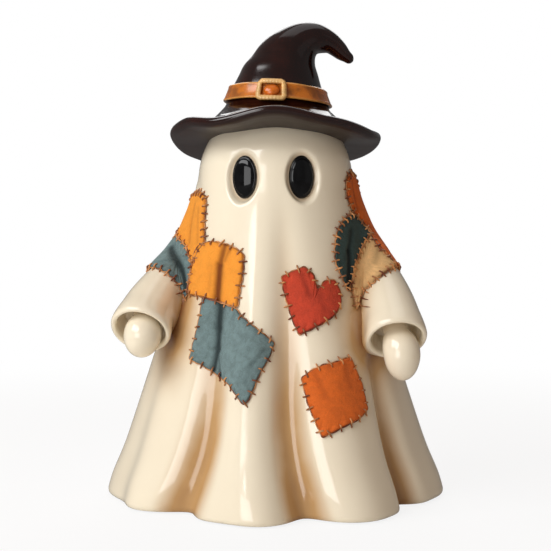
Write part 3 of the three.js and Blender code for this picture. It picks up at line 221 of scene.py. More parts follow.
# The bent crown, ring by ring: its middle across and above the rim's level and its radius, in millimetres,
# and how many degrees the ring leans over.
CROWN_RINGS = (
    (0.5, 17.5, 27.3, 0),
    (0.6, 22.5, 25.3, 0),
    (0.8, 27.5, 23.5, 0),
    (1.6, 34.4, 20.8, 0),
    (2.1, 39.2, 18.9, 0),
    (4.4, 44, 16.6, 2),
    (6.6, 47.5, 15.3, 8),
    (9.6, 50.3, 13.8, 18),
    (14.1, 52.7, 11.9, 33),
    (19.3, 54.1, 10.0, 52),
    (25.2, 53.8, 8, 74),
    (30.5, 50.8, 6.1, 96),
    (34.8, 47, 4.6, 112),
    (38.2, 43.8, 3, 120),
)
CROWN_SPINE = MM * np.array([ring[:3] for ring in CROWN_RINGS])
CROWN_STRAIGHT = CROWN_SPINE[:4]  # the rings below the bend, which the band goes round
# How the crown closes at its tip: shares of the way to it and of the last ring's size
CROWN_TIP = ((0.35, 0.93), (0.65, 0.74), (0.88, 0.45), (1, 0.1))
BAND_BOTTOM = BRIM_LEVEL + 18.8 * MM
BAND_HEIGHT = 8.4 * MM
BAND_MIDDLE = BAND_BOTTOM + BAND_HEIGHT / 2
BAND_LEAN = 1.4 * MM  # it sits this much lower at the right, and higher at the left
BAND_GAP = 0.3 * MM
BAND_THICKNESS = 1.7 * MM
BUCKLE_ANGLE = -5.5
BUCKLE_WIDTH = 15.8 * MM
BUCKLE_HEIGHT = 11.6 * MM
BUCKLE_BAR = 2.8 * MM
BUCKLE_CORNER = 2.6 * MM
BUCKLE_BEADS = 24
STUD_RADIUS = 3.2 * MM
STUD_STRETCH = 1.3
STUD_HEIGHT = 2.2 * MM

# Felt patches: outlines in millimetres on an upright plane that faces the given angle. The first number runs
# to the right along the plane, the second is how far the point lies below the head's centre. A patch with a
# sleeve to go round has its first number along the sleeve's girth instead, from the front of it. A crease is
# the two ends of a line, how deep it is and its half width. Pitch is a share of the usual stitch spacing.
GIRTH_RADIUS = 20 * MM
GIRTH_LIMIT = 36 * MM  # farther than this from a sleeve's middle a wrapped patch covers nothing
FAN_SHARE = 0.25  # the outline fans out from this far between the sleeve's middle and the axis
PRESS_START = 110 * MM  # how far out a place starts on its way to the body
PRESS_ROUNDS = 42
PRESS_SHARE = 0.85  # of the distance that is left, in each round
LONGEST_STEP = 3  # a stitch takes at most this many millimetres of the outline for one of the body
EDGE_STEP = 0.7  # millimetres between the points of an outline
BESIDE = 1.2  # this many millimetres outside an edge it is seen whether another patch lies there
PINCH_WIDTH = 1.3  # millimetres along the edge
PINCH_INSET = 1.2 * MM
PINCH_REACH = 1.6 * MM
FELT_ROUND = 0.8 * MM  # radius of the felt's upper edge
FELT_SOFT = 0.12 * MM  # height of its slow unevenness
FELT_LEAST = 0.1 * MM  # the felt is at least this thick
# Painted shade on the felt: its crease colour darkens the creases, the edge and the underside
CREASE_FULL = 0.9  # a crease this deep has the full crease colour
EDGE_SHADE = 0.7 * MM  # how far the felt's edge is shaded
UNDER_SHADE = 0.6

# Stitches, along their length as shares of half of it
STITCH_SLANT = 0.2
STITCH_SPREAD = (0.85, 1.15)
STITCH_RISE = -0.12  # from here inwards it lies on the felt
STITCH_DIVE = 0.62  # from here outwards it dives
SLOPE_STEP = 0.5  # millimetres of an outline over which the body's slopes are measured
NORMAL_STEP = 0.3 * MM
PATCHES = {
    "left_shoulder": {
        "facing": -70, "centre": (-1, 22), "pitch": 0.7, "felt": "amber_felt",
        "outline": [
            (-4.9, 7.6), (2.1, 7.8), (8.9, 10.5), (10.2, 14.6), (11, 18.3), (11.7, 22.6), (13.5, 27.4),
            (15.5, 32), (15.9, 35.3), (14.1, 36.8), (12.8, 38.7), (12.5, 41.9), (12.4, 44.8), (9.3, 43.6),
            (6.5, 41.4), (3.8, 39.4), (0.7, 36.3), (-2.4, 34), (-6.3, 32.2), (-13, 29.4), (-20, 26.4),
            (-21.4, 20), (-20.4, 14), (-12, 8.4),
        ],
        "creases": [
            ((-2.2, 14), (-1.3, 24.5), 0.25, 1.3), ((-1.3, 24.5), (2.2, 34), 0.3, 1.3),
            ((4, 16), (11, 33.5), 0.2, 1.2),
        ],
    },
    "left_sleeve": {
        "round": "left", "centre": (-16, 42.5), "pitch": 0.7, "felt": "slate_felt",
        "outline": [
            (-26, 30), (-22.2, 32.5), (-18.4, 34.3), (-15.1, 36.6), (-11.9, 39.7), (-9.3, 41.7),
            (-6.9, 43.9), (-4.8, 46.6), (-3.5, 49.6), (-2.4, 53.1), (-1.1, 56.6), (-0.1, 59.9),
            (-0.1, 62.4), (-3.9, 60.3), (-6.5, 58), (-8.7, 55.4), (-10.9, 52.8), (-13, 50.6), (-14.2, 49.5),
            (-16.7, 47.7), (-18.6, 46.9), (-21.4, 46.6), (-27.3, 48.2), (-33.8, 49.2), (-38, 48.8),
            (-39.9, 44), (-39.6, 38.5), (-36.2, 33.4), (-31, 30.6),
        ],
        "creases": [
            ((-22.5, 37), (-13, 46), 0.9, 1.3), ((-13, 46), (-2, 58), 1.1, 1.5),
        ],
    },
    "chest": {
        "facing": 0, "centre": (-28, 49), "felt": "amber_felt",
        "outline": [
            (-37.4, 35.7), (-35.1, 34.1), (-32.8, 33.5), (-30.3, 33.5), (-27.5, 33.9), (-24.8, 34.6),
            (-21.8, 35.6), (-19.1, 37), (-16.7, 38.6), (-15.3, 39.9), (-15.5, 43.6), (-15.6, 46.9),
            (-16, 51.6), (-16.8, 55.5), (-17.4, 59.5), (-17.8, 63.3), (-18.4, 66), (-21.8, 64.8),
            (-24.6, 64.1), (-27.5, 63.2), (-30.5, 62.5), (-33.4, 61.6), (-36.8, 60.7), (-39.6, 60.2),
            (-42.9, 60), (-43.3, 56.6), (-42.7, 53.1), (-42.1, 49.6), (-41.4, 45.9), (-40.5, 42.1),
            (-39.7, 38.5), (-38.5, 36.6),
        ],
        "creases": [
            ((-24.4, 35), (-27, 45), 0.7, 1.5), ((-27, 45), (-28.2, 62.8), 1.0, 1.9),
            ((-21.3, 36), (-24.8, 43), 0.4, 1.2), ((-31, 46), (-32, 58), 0.15, 1.6),
        ],
    },
    "front": {
        "facing": 0, "centre": (-23, 84), "felt": "slate_felt",
        "outline": [
            (-35.8, 61.1), (-33.4, 61.6), (-30.5, 62.5), (-27.5, 63.2), (-24.6, 64.1), (-21.8, 64.8),
            (-18.4, 66.1), (-17.6, 68.3), (-14.7, 71), (-11.8, 73.4), (-9, 75.7), (-5.9, 78.2),
            (-3.5, 80.3), (-0.8, 82.5), (-2.1, 85.5), (-3.4, 89.2), (-5.9, 93.5), (-8.6, 98.5),
            (-10.6, 104.1), (-13, 109.1), (-14.5, 111.3), (-16.8, 108.9), (-19.3, 105.5), (-21.5, 102.4),
            (-24.5, 100.4), (-27.5, 98.8), (-30.4, 97.2), (-33.3, 95.5), (-37.7, 93.1), (-40.6, 92.1),
            (-42.3, 91.6), (-41.4, 88.8), (-40.4, 84.5), (-39.2, 80.3), (-38.2, 75.7), (-37.3, 71),
            (-36.5, 66.8),
        ],
        "creases": [
            ((-26.2, 63), (-27, 76), 0.9, 2.2), ((-27, 76), (-27.4, 86), 1.0, 1.7),
            ((-27.4, 86), (-29.4, 96), 0.8, 1.4), ((-27.4, 86), (-25.8, 99), 0.5, 0.9),
            ((-5.5, 85.5), (-11.5, 93), 0.3, 1.1), ((-11.5, 93), (-14, 101), 0.2, 1.2),
        ],
    },
    "heart": {
        "facing": 0, "centre": (18, 63), "felt": "red_felt",
        "outline": [
            (2.8, 50.6), (8.3, 48.2), (14.1, 45.7), (18.4, 49.8), (20.3, 57.2), (24.2, 52.5), (28.9, 52.5),
            (31.7, 58.8), (31.7, 64.2), (29, 69.1), (23.8, 72.7), (11.7, 78.8), (8.3, 71.2), (3.8, 57.1),
        ],
        "creases": [
            ((13, 50), (16.5, 60), 0.3, 1.4), ((20, 58), (24, 68), 0.2, 1.5),
        ],
    },
    "skirt": {
        "facing": 0, "centre": (29, 107), "felt": "orange_felt",
        "outline": [
            (12.7, 99.1), (18.1, 94.9), (22.8, 92.9), (28.4, 91.9), (36, 89.7), (41.7, 103.3),
            (44.3, 115.4), (39.3, 119.2), (33.2, 121.2), (22.2, 126.4), (15.8, 111.3),
        ],
        "creases": [
            ((19, 97), (24, 108), 0.2, 1.6), ((33, 94), (35.5, 104), 0.2, 1.4),
        ],
    },
    "right_shoulder": {
        "facing": 70, "centre": (8, 24), "pitch": 0.7, "felt": "orange_felt",
        "outline": [
            (-1.3, -2.2), (-5.6, 1.5), (-5.9, 5.4), (-6.6, 10.2), (-4.1, 14.8), (-0.7, 19), (3.2, 23.3),
            (4.7, 26), (5.7, 28.8), (3.1, 34.6), (1.3, 38.7), (0.6, 42.7), (0.8, 45.5), (7, 47.4),
            (13.8, 48.2), (18.5, 46), (20.5, 31), (20.5, 16), (16, 3.6), (8, -2.7),
        ],
        "creases": [
            ((0, 2), (2.5, 16), 0.3, 1.2), ((8, 24), (9, 44), 0.25, 1.4),
        ],
    },
    "right_side": {
        "facing": 30, "centre": (18, 36), "pitch": 0.7, "felt": "teal_felt",
        "outline": [
            (25.2, 18.9), (32.2, 23.3), (34.7, 26), (37.2, 28.8), (31.8, 32.9), (25, 39.2), (18.6, 45.3),
            (16.1, 50.7), (11.9, 58.5), (9.8, 53.6), (7.4, 47.5), (5.7, 43), (7.2, 35.4), (10, 28.4),
            (14.2, 23.7), (20.1, 20.4),
        ],
        "creases": [
            ((19.8, 28), (16, 38), 0.6, 1.6), ((16, 38), (12.2, 56), 1.0, 1.9),
        ],
    },
    "right_sleeve": {
        "facing": 30, "centre": (26, 46), "pitch": 0.7, "felt": "tan_felt",
        "outline": [
            (37.2, 28.8), (37.6, 34.6), (38.6, 38.7), (40.7, 42.7), (41.8, 45.8), (33.5, 48.4),
            (27.4, 52.2), (22.6, 57.5), (19.9, 62.1), (16.1, 67.2), (15.4, 61.3), (15.4, 53.7),
            (16.1, 50.7), (18.6, 45.3), (25, 39.2), (31.8, 32.9),
        ],
        "creases": [
            ((36, 38), (31, 45), 0.3, 1.3), ((33, 34), (28, 41), 0.2, 1.2), ((28, 46), (21, 55), 0.15, 1.5),
        ],
    },
}


def linear(red, green, blue):
    """Blender's linear colour for the 0 to 255 values that a screen shows."""
    shown = np.array((red, green, blue)) / 255
    return tuple(np.where(shown > 0.04045, ((shown + 0.055) / 1.055) ** 2.4, shown / 12.92))


def colour(name, description, *shown):
    """A colour property, its default given as a screen shows it."""
    return FloatVectorProperty(
        name=name, description=description, subtype="COLOR", size=3, min=0, max=1, default=linear(*shown)
    )


def length(name, description, default):
    """A property for a length in metres."""
    return FloatProperty(name=name, description=description, unit="LENGTH", default=default, min=0)


def watts(name, description, default):
    """A property for a lamp's power."""
    return FloatProperty(name=name, description=description, unit="POWER", default=default, min=0)


class GhostGlaze(bpy.types.PropertyGroup):
    cream: colour("Cream", "Glaze of the robe, sleeves and hands", 248, 239, 216)
    # Colour of the painted shade: a brown that darkens the glaze in folds, sockets, cuffs and beside the
    # sleeves, where shade falls
    wash: colour("Wash", "Brown wash that gathers in folds and creases", 204, 170, 130)
    chocolate: colour("Chocolate", "Glaze of the hat", 46, 17, 10)
    caramel: colour("Caramel", "Glaze of the hat's band", 214, 122, 36)
    honey: colour("Honey", "Glaze of the buckle", 238, 176, 92)
    enamel: colour("Enamel", "Black of the eyes", 6, 6, 7)
    crease: length("Crease", "Width of the rounded crease where a sleeve meets the robe", 6 * MM)


class GhostFelt(bpy.types.PropertyGroup):
    amber: colour("Amber", "Felt of the left shoulder and chest", 248, 154, 46)
    orange: colour("Orange", "Felt of the skirt and right shoulder", 222, 104, 22)
    slate: colour("Slate", "Felt of the left sleeve and front", 116, 140, 142)
    teal: colour("Teal", "Felt of the right side", 50, 74, 72)
    tan: colour("Tan", "Felt of the right sleeve", 232, 186, 128)
    red: colour("Red", "Felt of the heart", 204, 66, 36)
    thread: colour("Thread", "Stitches", 118, 60, 32)
    thickness: length("Thickness", "Of the felt", 1.5 * MM)
    lift: length("Lift", "Gap between the felt and the glaze", 0.25 * MM)
    pitch: length("Pitch", "Distance between stitches", 6 * MM)
    stitch: length("Stitch", "Length of a stitch across the edge", 4.4 * MM)
    yarn: length("Yarn", "Radius of the thread", 0.42 * MM)


class GhostStage(bpy.types.PropertyGroup):
    key: watts("Key", "Watts of the softbox at the left", 9.6)
    low: watts("Low", "Watts of the low softbox beside the camera", 4.6)
    fill: watts("Fill", "Watts of the light at the right", 0.1)
    top: watts("Top", "Watts of the light overhead", 1.0)
    back: watts("Back", "Watts of the light behind", 5.0)
    room: FloatProperty(
        name="Room",
        description="Light from all round, 1 is white",
        subtype="FACTOR",
        default=0.16,
        min=0,
        max=1,
    )
    walls: colour("Walls", "Warm tint of the light from all round", 255, 206, 160)
    floor: colour("Floor", "Plain floor", 246, 246, 246)


# Shape of the figure


def radians(angle):
    """Radians of one angle in degrees or an array of them."""
    return np.asarray(angle) * np.pi / 180


def circle(count):
    """Angles in radians, evenly apart round a full turn."""
    return np.linspace(0, 2 * np.pi, count, endpoint=False)


def unit(vectors):
    """Vectors divided by their lengths."""
    return vectors / np.linalg.norm(vectors, axis=-1, keepdims=True)


def bell(offset):
    """exp(-offset ** 2): 1 in the middle, 0.37 one width away from it."""
    return np.exp(-(offset**2))


def around(angle, radius, height):
    """Points at an angle in degrees from the front, a radius and a height; all three broadcast."""
    turn = radians(angle)
    return np.stack(np.broadcast_arrays(radius * np.sin(turn), -radius * np.cos(turn), height), axis=-1)


def ease(share):
    """Smooth step from 0 to 1: 3 s^2 - 2 s^3."""
    share = np.clip(share, 0, 1)
    return share * share * (3 - 2 * share)


def fold_depth(angle, height):
    """Sum of the folds: reach * fall ** growth * bell(off / width). Fall runs from 0 where the fold begins
    to 1 at the floor, and off is the angle from the fold's centre, which swings over near the hem."""
    total = np.zeros(np.broadcast(angle, height).shape)
    swing = np.maximum(0, 1 - height / FOLD_TURN) ** 2
    for top, hem, width, reach, start in FOLDS:
        fall = np.clip(1 - height / (start * MM), 0, 1)
        off = (angle - (top + (hem - top) * swing) + 180) % 360 - 180
        total = total + reach * MM * fall**FOLD_GROWTH * bell(off / width)
    return total


def robe_radius(angle, height):
    """Radius of the robe below the head's centre: head + spread * d^2 / (d + ease) + flare + folds, where d
    is the depth below that centre."""
    below = np.maximum(HEAD_HEIGHT - height, 0)
    cone = ROBE_SPREAD * below**2 / (below + SHOULDER_EASE)
    flare = HEM_FLARE * bell((height - HEM_FLARE_HEIGHT) / HEM_FLARE_BAND)
    return HEAD_RADIUS + cone + flare + fold_depth(angle, height)


def robe_distance(points):
    """Roughly the distance from the robe: a sphere above the head's centre, the radius formula below it,
    times the cosine of the robe's slope."""
    x, y, z = points[..., 0], points[..., 1], points[..., 2]
    radius = np.hypot(x, y)
    angle = np.degrees(np.arctan2(x, -y))
    low = (radius - robe_radius(angle, np.minimum(z, HEAD_HEIGHT))) * ROBE_SLOPE
    high = np.sqrt(radius**2 + (z - HEAD_HEIGHT) ** 2) - HEAD_RADIUS
    return np.where(z > HEAD_HEIGHT, high, low)


def sleeve_middle(side, share):
    """Points of a sleeve's centreline at shares of its length, a cubic curve with four control points:
    (1 - s)^3 a + 3 (1 - s)^2 s b + 3 (1 - s) s^2 c + s^3 d."""
    s = np.asarray(share)[..., None]
    a, b, c, d = SLEEVES[side]
    return (1 - s) ** 3 * a + 3 * (1 - s) ** 2 * s * b + 3 * (1 - s) * s**2 * c + s**3 * d


def sleeve_way(side, share):
    """Unit tangents of the same curve."""
    s = np.asarray(share)[..., None]
    a, b, c, d = SLEEVES[side]
    return unit((1 - s) ** 2 * (b - a) + 2 * (1 - s) * s * (c - b) + s**2 * (d - c))


def sleeve_radius(share):
    """Start + (cuff - start) * share ** swell."""
    return SLEEVE_START_RADIUS + (SLEEVE_CUFF_RADIUS - SLEEVE_START_RADIUS) * share**SLEEVE_SWELL


def sleeve_distance(points, side):
    """Distance from a chain of 61 spheres along the sleeve's centreline, at most a metre."""
    shares = np.linspace(0, 1, 61)
    nearest = np.full(points.shape[:-1], 1.0)
    for centre, radius in zip(sleeve_middle(side, shares), sleeve_radius(shares)):
        nearest = np.minimum(nearest, np.linalg.norm(points - centre, axis=-1) - radius)
    return nearest


def sleeves_distance(points):
    """Distance from the nearer sleeve."""
    return np.minimum(sleeve_distance(points, "left"), sleeve_distance(points, "right"))


def joined(a, b, width):
    """Two distances joined with a rounded crease: min(a, b) - h^2 * width / 4, where h is
    max(width - |a - b|, 0) / width."""
    h = np.maximum(width - np.abs(a - b), 0) / width
    return np.minimum(a, b) - h * h * width / 4


def body_distance(points, width):
    """Distance from robe and sleeves, joined with creases of a width."""
    left = joined(robe_distance(points), sleeve_distance(points, "left"), width)
    return joined(left, sleeve_distance(points, "right"), width)


def body_normal(points, width):
    """Unit gradient of the body's distance, by central differences."""
    slopes = []
    for step in np.eye(3) * NORMAL_STEP:
        slopes.append(body_distance(points + step, width) - body_distance(points - step, width))
    return unit(np.stack(slopes, axis=-1))


def crease_move(distance, width):
    """How far a surface rises into the rounded crease beside another one, at a distance b from it:
    width + b - 2 sqrt(width b), at most width / 4, and fading out inside the other one."""
    near = np.clip(distance, width / 4, width)
    outside = width + near - 2 * np.sqrt(width * near)
    inside = width / 4 * np.clip(1 + distance / width, 0, 1) ** 2
    return np.where(distance > 0, outside, inside)


def fill_crease(points, normals, distance, width):
    """Moves points out along their normals into the crease beside another surface, in three rounds."""
    move = np.zeros(points.shape[:-1])
    for _ in range(3):
        move = crease_move(distance(points + move[..., None] * normals), width)
    return points + move[..., None] * normals


def spline(knots, count):
    """Rows on a smooth curve through knots, the first axis running along it: cubic pieces over the length of
    the chords, with slopes from the neighbours."""
    flat = knots.reshape(len(knots), -1)
    gaps = np.linalg.norm(np.diff(flat, axis=0), axis=1)
    at = np.concatenate([[0], np.cumsum(gaps)])
    slopes = np.gradient(flat, at, axis=0)
    places = np.linspace(0, at[-1], count)
    i = np.clip(np.searchsorted(at, places, side="right") - 1, 0, len(at) - 2)
    gap = gaps[i][:, None]
    s = (places - at[i])[:, None] / gap
    rows = (
        (2 * s**3 - 3 * s**2 + 1) * flat[i]
        + (s**3 - 2 * s**2 + s) * gap * slopes[i]
        + (3 * s**2 - 2 * s**3) * flat[i + 1]
        + (s**3 - s**2) * gap * slopes[i + 1]
    )
    return rows.reshape((count,) + knots.shape[1:])


def reach_along(line):
    """Length of a line from its start to each of its points."""
    return np.concatenate([[0], np.cumsum(np.linalg.norm(np.diff(line, axis=0), axis=1))])


def at_reach(line, reach, at):
    """Points of a line at lengths along it."""
    return np.stack([np.interp(at, reach, line[:, axis]) for axis in range(line.shape[1])], axis=-1)


def closed_slopes(line):
    """Central differences along a closed line."""
    return np.roll(line, -1, axis=0) - np.roll(line, 1, axis=0)


def quarter_turn(way):
    """Directions in a plane, turned by 90 degrees."""
    return np.stack([-way[:, 1], way[:, 0]], axis=-1)


# Meshes


def grid_normals(points):
    """Unit normals of a grid whose columns close round, from its two directions of differences."""
    along = np.gradient(points, axis=0)
    across = np.roll(points, -1, axis=1) - np.roll(points, 1, axis=1)
    normal = np.cross(across, along)
    return normal / np.maximum(np.linalg.norm(normal, axis=-1, keepdims=True), 1e-12)


def build_mesh(name, points, faces):
    """A smooth mesh from points (N, 3) and a list of face arrays, each (M, 3) or (M, 4)."""
    corners = np.concatenate([part.ravel() for part in faces]).astype(np.int32)
    sizes = np.concatenate([np.full(len(part), part.shape[1]) for part in faces])
    starts = np.concatenate([[0], np.cumsum(sizes)[:-1]]).astype(np.int32)
    mesh = bpy.data.meshes.new(name)
    mesh.vertices.add(len(points))
    mesh.vertices.foreach_set("co", points.astype(np.float32).ravel())
    mesh.loops.add(len(corners))
    mesh.loops.foreach_set("vertex_index", corners)
    mesh.polygons.add(len(starts))
    mesh.polygons.foreach_set("loop_start", starts)
    mesh.update(calc_edges=True)
    mesh.validate()
    mesh.shade_smooth()
    return mesh


def closed_mesh(name, points, faces):
    """A mesh whose faces are turned outwards. They are where the volume that they enclose is positive: a
    sixth of the sum of (a x b) . c over their triangles."""
    volume = 0
    for part in faces:
        for second in range(1, part.shape[1] - 1):
            a, b, c = points[part[:, 0]], points[part[:, second]], points[part[:, second + 1]]
            volume += np.einsum("ij,ij->", np.cross(a, b), c)
    if volume < 0:
        faces = [part[:, ::-1] for part in faces]
    return build_mesh(name, points, faces)


def ring_faces(index):
    """Quads between the rows of a grid of point numbers whose columns close round."""
    right = np.roll(index, -1, axis=1)
    return np.stack([index[:-1], right[:-1], right[1:], index[1:]], axis=-1).reshape(-1, 4)


def cap_faces(index):
    """Triangles that close such a grid's first and last rows to the two points numbered after the grid's
    own."""
    right = np.roll(index, -1, axis=1)
    middle = np.full(index.shape[1], index.size)
    first = np.stack([right[0], index[0], middle], axis=-1)
    last = np.stack([index[-1], right[-1], middle + 1], axis=-1)
    return np.concatenate([first, last])


def closed_piece(name, rows, material, masks=(), ring=False):
    """A closed surface from a grid (rows, columns, 3) whose columns close round. Its first and last rows
    close to their own middles, or to each other where ring is true. Masks are named floats on the grid's
    points."""
    index = np.arange(rows.shape[0] * rows.shape[1]).reshape(rows.shape[:2])
    points = rows.reshape(-1, 3)
    if ring:
        faces = [ring_faces(np.vstack([index, index[:1]]))]
    else:
        faces = [ring_faces(index), cap_faces(index)]
        points = np.vstack([points, rows[0].mean(axis=0), rows[-1].mean(axis=0)])
    mesh = closed_mesh(name, points, faces)
    for label, values in dict(masks).items():
        flat = values.reshape(-1)
        if not ring:
            flat = np.concatenate([flat, [values[0].mean(), values[-1].mean()]])
        mesh.attributes.new(label, "FLOAT", "POINT").data.foreach_set("value", flat.astype(np.float32))
    return add_piece(name, mesh, material)


def add_piece(name, mesh, material):
    """An object of a mesh, in the scene."""
    mesh.materials.append(material)
    piece = bpy.data.objects.new(name, mesh)
    bpy.context.scene.collection.objects.link(piece)
    return piece


def spread_over(rows, values):
    """One value for each row of a grid, as a mask over all its points."""
    return np.broadcast_to(values[:, None], rows.shape[:2])


def dress(piece, slot, *nodes, body="figure"):
    """A piece that rides on a body and stands for CAD nodes, which it hides; the slot is not used."""
    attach(piece, body)
    if nodes:
        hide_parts(*nodes)


def capsules(name, paths, normals, radius, material):
    """Closed thread tubes, one for each path (M, K, 3), with rounded ends. A ring goes round the path in
    the frame of its tangent, the normal and their cross product, and swells as the sixth power of its
    place."""
    count, steps = paths.shape[:2]
    way = unit(np.gradient(paths, axis=1))
    side = unit(np.cross(way, normals))
    up = np.cross(side, way)
    turn = circle(THREAD_COLUMNS)[:, None]
    swell = np.sqrt(np.clip(1 - np.abs(np.linspace(-1, 1, steps)) ** 6, 0.08, 1)) * radius
    ring = np.cos(turn) * side[:, :, None] + np.sin(turn) * up[:, :, None]
    rings = paths[:, :, None] + ring * swell[None, :, None, None]
    dome = radius * 0.3
    caps = np.stack([paths[:, 0] - way[:, 0] * dome, paths[:, -1] + way[:, -1] * dome], axis=1)
    points = np.concatenate([rings.reshape(count, -1, 3), caps], axis=1)
    index = np.arange(steps * THREAD_COLUMNS).reshape(steps, THREAD_COLUMNS)
    shift = np.arange(count)[:, None, None] * points.shape[1]
    faces = [(ring_faces(index) + shift).reshape(-1, 4), (cap_faces(index) + shift).reshape(-1, 3)]
    return add_piece(name, closed_mesh(name, points.reshape(-1, 3), faces), material)


# Materials


def give(tree, socket, value):
    """Links an output to a socket, or sets the socket's value."""
    if isinstance(value, bpy.types.NodeSocket):
        tree.links.new(value, socket)
    else:
        socket.default_value = value


def node(tree, kind, inputs=(), **settings):
    """Adds a node. Inputs are named or numbered, and take a value or another node's output."""
    made = tree.nodes.new(kind)
    for key, value in settings.items():
        setattr(made, key, value)
    for key, value in dict(inputs).items():
        give(tree, made.inputs[key], value)
    return made


def math(tree, operation, *values):
    """The result of a math node."""
    return node(tree, "ShaderNodeMath", dict(enumerate(values)), operation=operation).outputs[0]


def spread(tree, value, low, high, to_low=0.0, to_high=1.0):
    """Maps a value from one range to another and clamps it, with soft ends."""
    inputs = {"Value": value, "From Min": low, "From Max": high, "To Min": to_low, "To Max": to_high}
    return node(tree, "ShaderNodeMapRange", inputs, interpolation_type="SMOOTHSTEP").outputs[0]


def blend(tree, share, under, over, kind="MIX"):
    """Mixes two colours by a share. Sockets 0, 6 and 7 are the mix node's factor and colours."""
    sockets = {0: share, 6: under, 7: over}
    return node(tree, "ShaderNodeMix", sockets, data_type="RGBA", blend_type=kind).outputs[2]


def opaque(shade, share=1.0):
    """A colour times a share, with full alpha."""
    return (*[share * part for part in shade], 1.0)


def mask(tree, name):
    """A piece's own mask."""
    return node(tree, "ShaderNodeAttribute", attribute_name=name, attribute_type="GEOMETRY").outputs["Fac"]


def here(tree):
    """The place on the object."""
    return node(tree, "ShaderNodeTexCoord").outputs["Object"]


def noise(tree, where, scale, detail=3.0, roughness=0.55, distortion=0.0):
    """A noise from 0 to 1."""
    inputs = {"Vector": where, "Scale": scale, "Detail": detail, "Roughness": roughness}
    return node(tree, "ShaderNodeTexNoise", {**inputs, "Distortion": distortion}).outputs["Fac"]


def new_material(name):
    """A material and its tree, with the shader and the output joined."""
    material = bpy.data.materials.new(name)
    material.use_nodes = True
    tree = material.node_tree
    tree.nodes.clear()
    shader = node(tree, "ShaderNodeBsdfPrincipled")
    node(tree, "ShaderNodeOutputMaterial", {"Surface": shader.outputs[0]})
    return material, tree, shader


def feed(tree, made, **sockets):
    """Gives a node's sockets their values or links; an underscore in a name stands for a space."""
    for key, value in sockets.items():
        give(tree, made.inputs[key.replace("_", " ")], value)


def shared_group(name, controls, masks, lay):
    """A shader node group, made once. Controls are the numbers that it takes, with their defaults, and
    masks those that it gives beside a Normal. Lay works out the strength, depth and height of the bump from
    the group, its inputs and the place on the object, and then the masks."""
    if name in bpy.data.node_groups:
        return bpy.data.node_groups[name]
    group = bpy.data.node_groups.new(name, "ShaderNodeTree")
    for label, default in controls.items():
        socket = group.interface.new_socket(label, in_out="INPUT", socket_type="NodeSocketFloat")
        socket.default_value = default
    for label in masks:
        group.interface.new_socket(label, in_out="OUTPUT", socket_type="NodeSocketFloat")
    group.interface.new_socket("Normal", in_out="OUTPUT", socket_type="NodeSocketVector")
    into = group.nodes.new("NodeGroupInput")
    out = group.nodes.new("NodeGroupOutput")
    strength, depth, height, *values = lay(group, into.outputs, here(group))
    for label, value in zip(masks, values):
        group.links.new(value, out.inputs[label])
    bump = node(group, "ShaderNodeBump", {"Strength": strength, "Distance": depth, "Height": height})
    group.links.new(bump.outputs[0], out.inputs["Normal"])
    return group


def use_group(tree, group, **inputs):
    """A group's outputs in a tree, with values for its inputs."""
    made = node(tree, "ShaderNodeGroup", node_tree=group)
    feed(tree, made, **inputs)
    return made.outputs


def glaze_group():
    """How glaze lies: Pool is a slow cloudy mask, Speck a fine one, and Normal has the slight waviness."""

    def lay(group, into, where):
        """Two noises as masks, and a third, slower one as the bump."""
        pool = noise(group, where, into["Cloud Size"], 3.0, 0.5)
        speck = noise(group, where, 900.0, 2.0, 0.6)
        slow = noise(group, where, 90.0, 1.0, 0.4)
        masks = spread(group, pool, 0.35, 0.7), spread(group, speck, 0.62, 0.75)
        return into["Waviness"], 1.0 * MM, slow, *masks

    return shared_group("Glaze skin", {"Waviness": 0.05, "Cloud Size": 30.0}, ("Pool", "Speck"), lay)


def fibre_group():
    """Felt: Mottle is a patchy mask, Fibre a fine tangled one, and Normal has the fibres' bump."""

    def lay(group, into, where):
        """Two noises as masks, and the fine one with a coarse one as the bump."""
        mottle = noise(group, where, into["Patch Size"], 4.0, 0.65, 0.6)
        fibre = noise(group, where, 1500.0, 3.0, 0.7, 2.5)
        coarse = noise(group, where, 480.0, 3.0, 0.6, 1.2)
        height = math(group, "ADD", math(group, "MULTIPLY", fibre, 0.5), coarse)
        masks = spread(group, mottle, 0.3, 0.7), spread(group, fibre, 0.3, 0.7)
        return into["Fuzz"], 0.5 * MM, height, *masks

    return shared_group("Felt fibres", {"Fuzz": 0.5, "Patch Size": 220.0}, ("Mottle", "Fibre"), lay)


def grain_group():
    """Moulded plastic or metal: Normal has a fine grain, Smudge is a soft mask for the roughness."""

    def lay(group, into, where):
        """A fine noise as the bump and a slow one as a mask."""
        grain = noise(group, where, into["Scale"], 2.0, 0.6)
        smudge = noise(group, where, 60.0, 3.0, 0.6)
        return into["Grain"], 0.2 * MM, grain, spread(group, smudge, 0.3, 0.7)

    return shared_group("Moulded grain", {"Grain": 0.3, "Scale": 900.0}, ("Smudge",), lay)


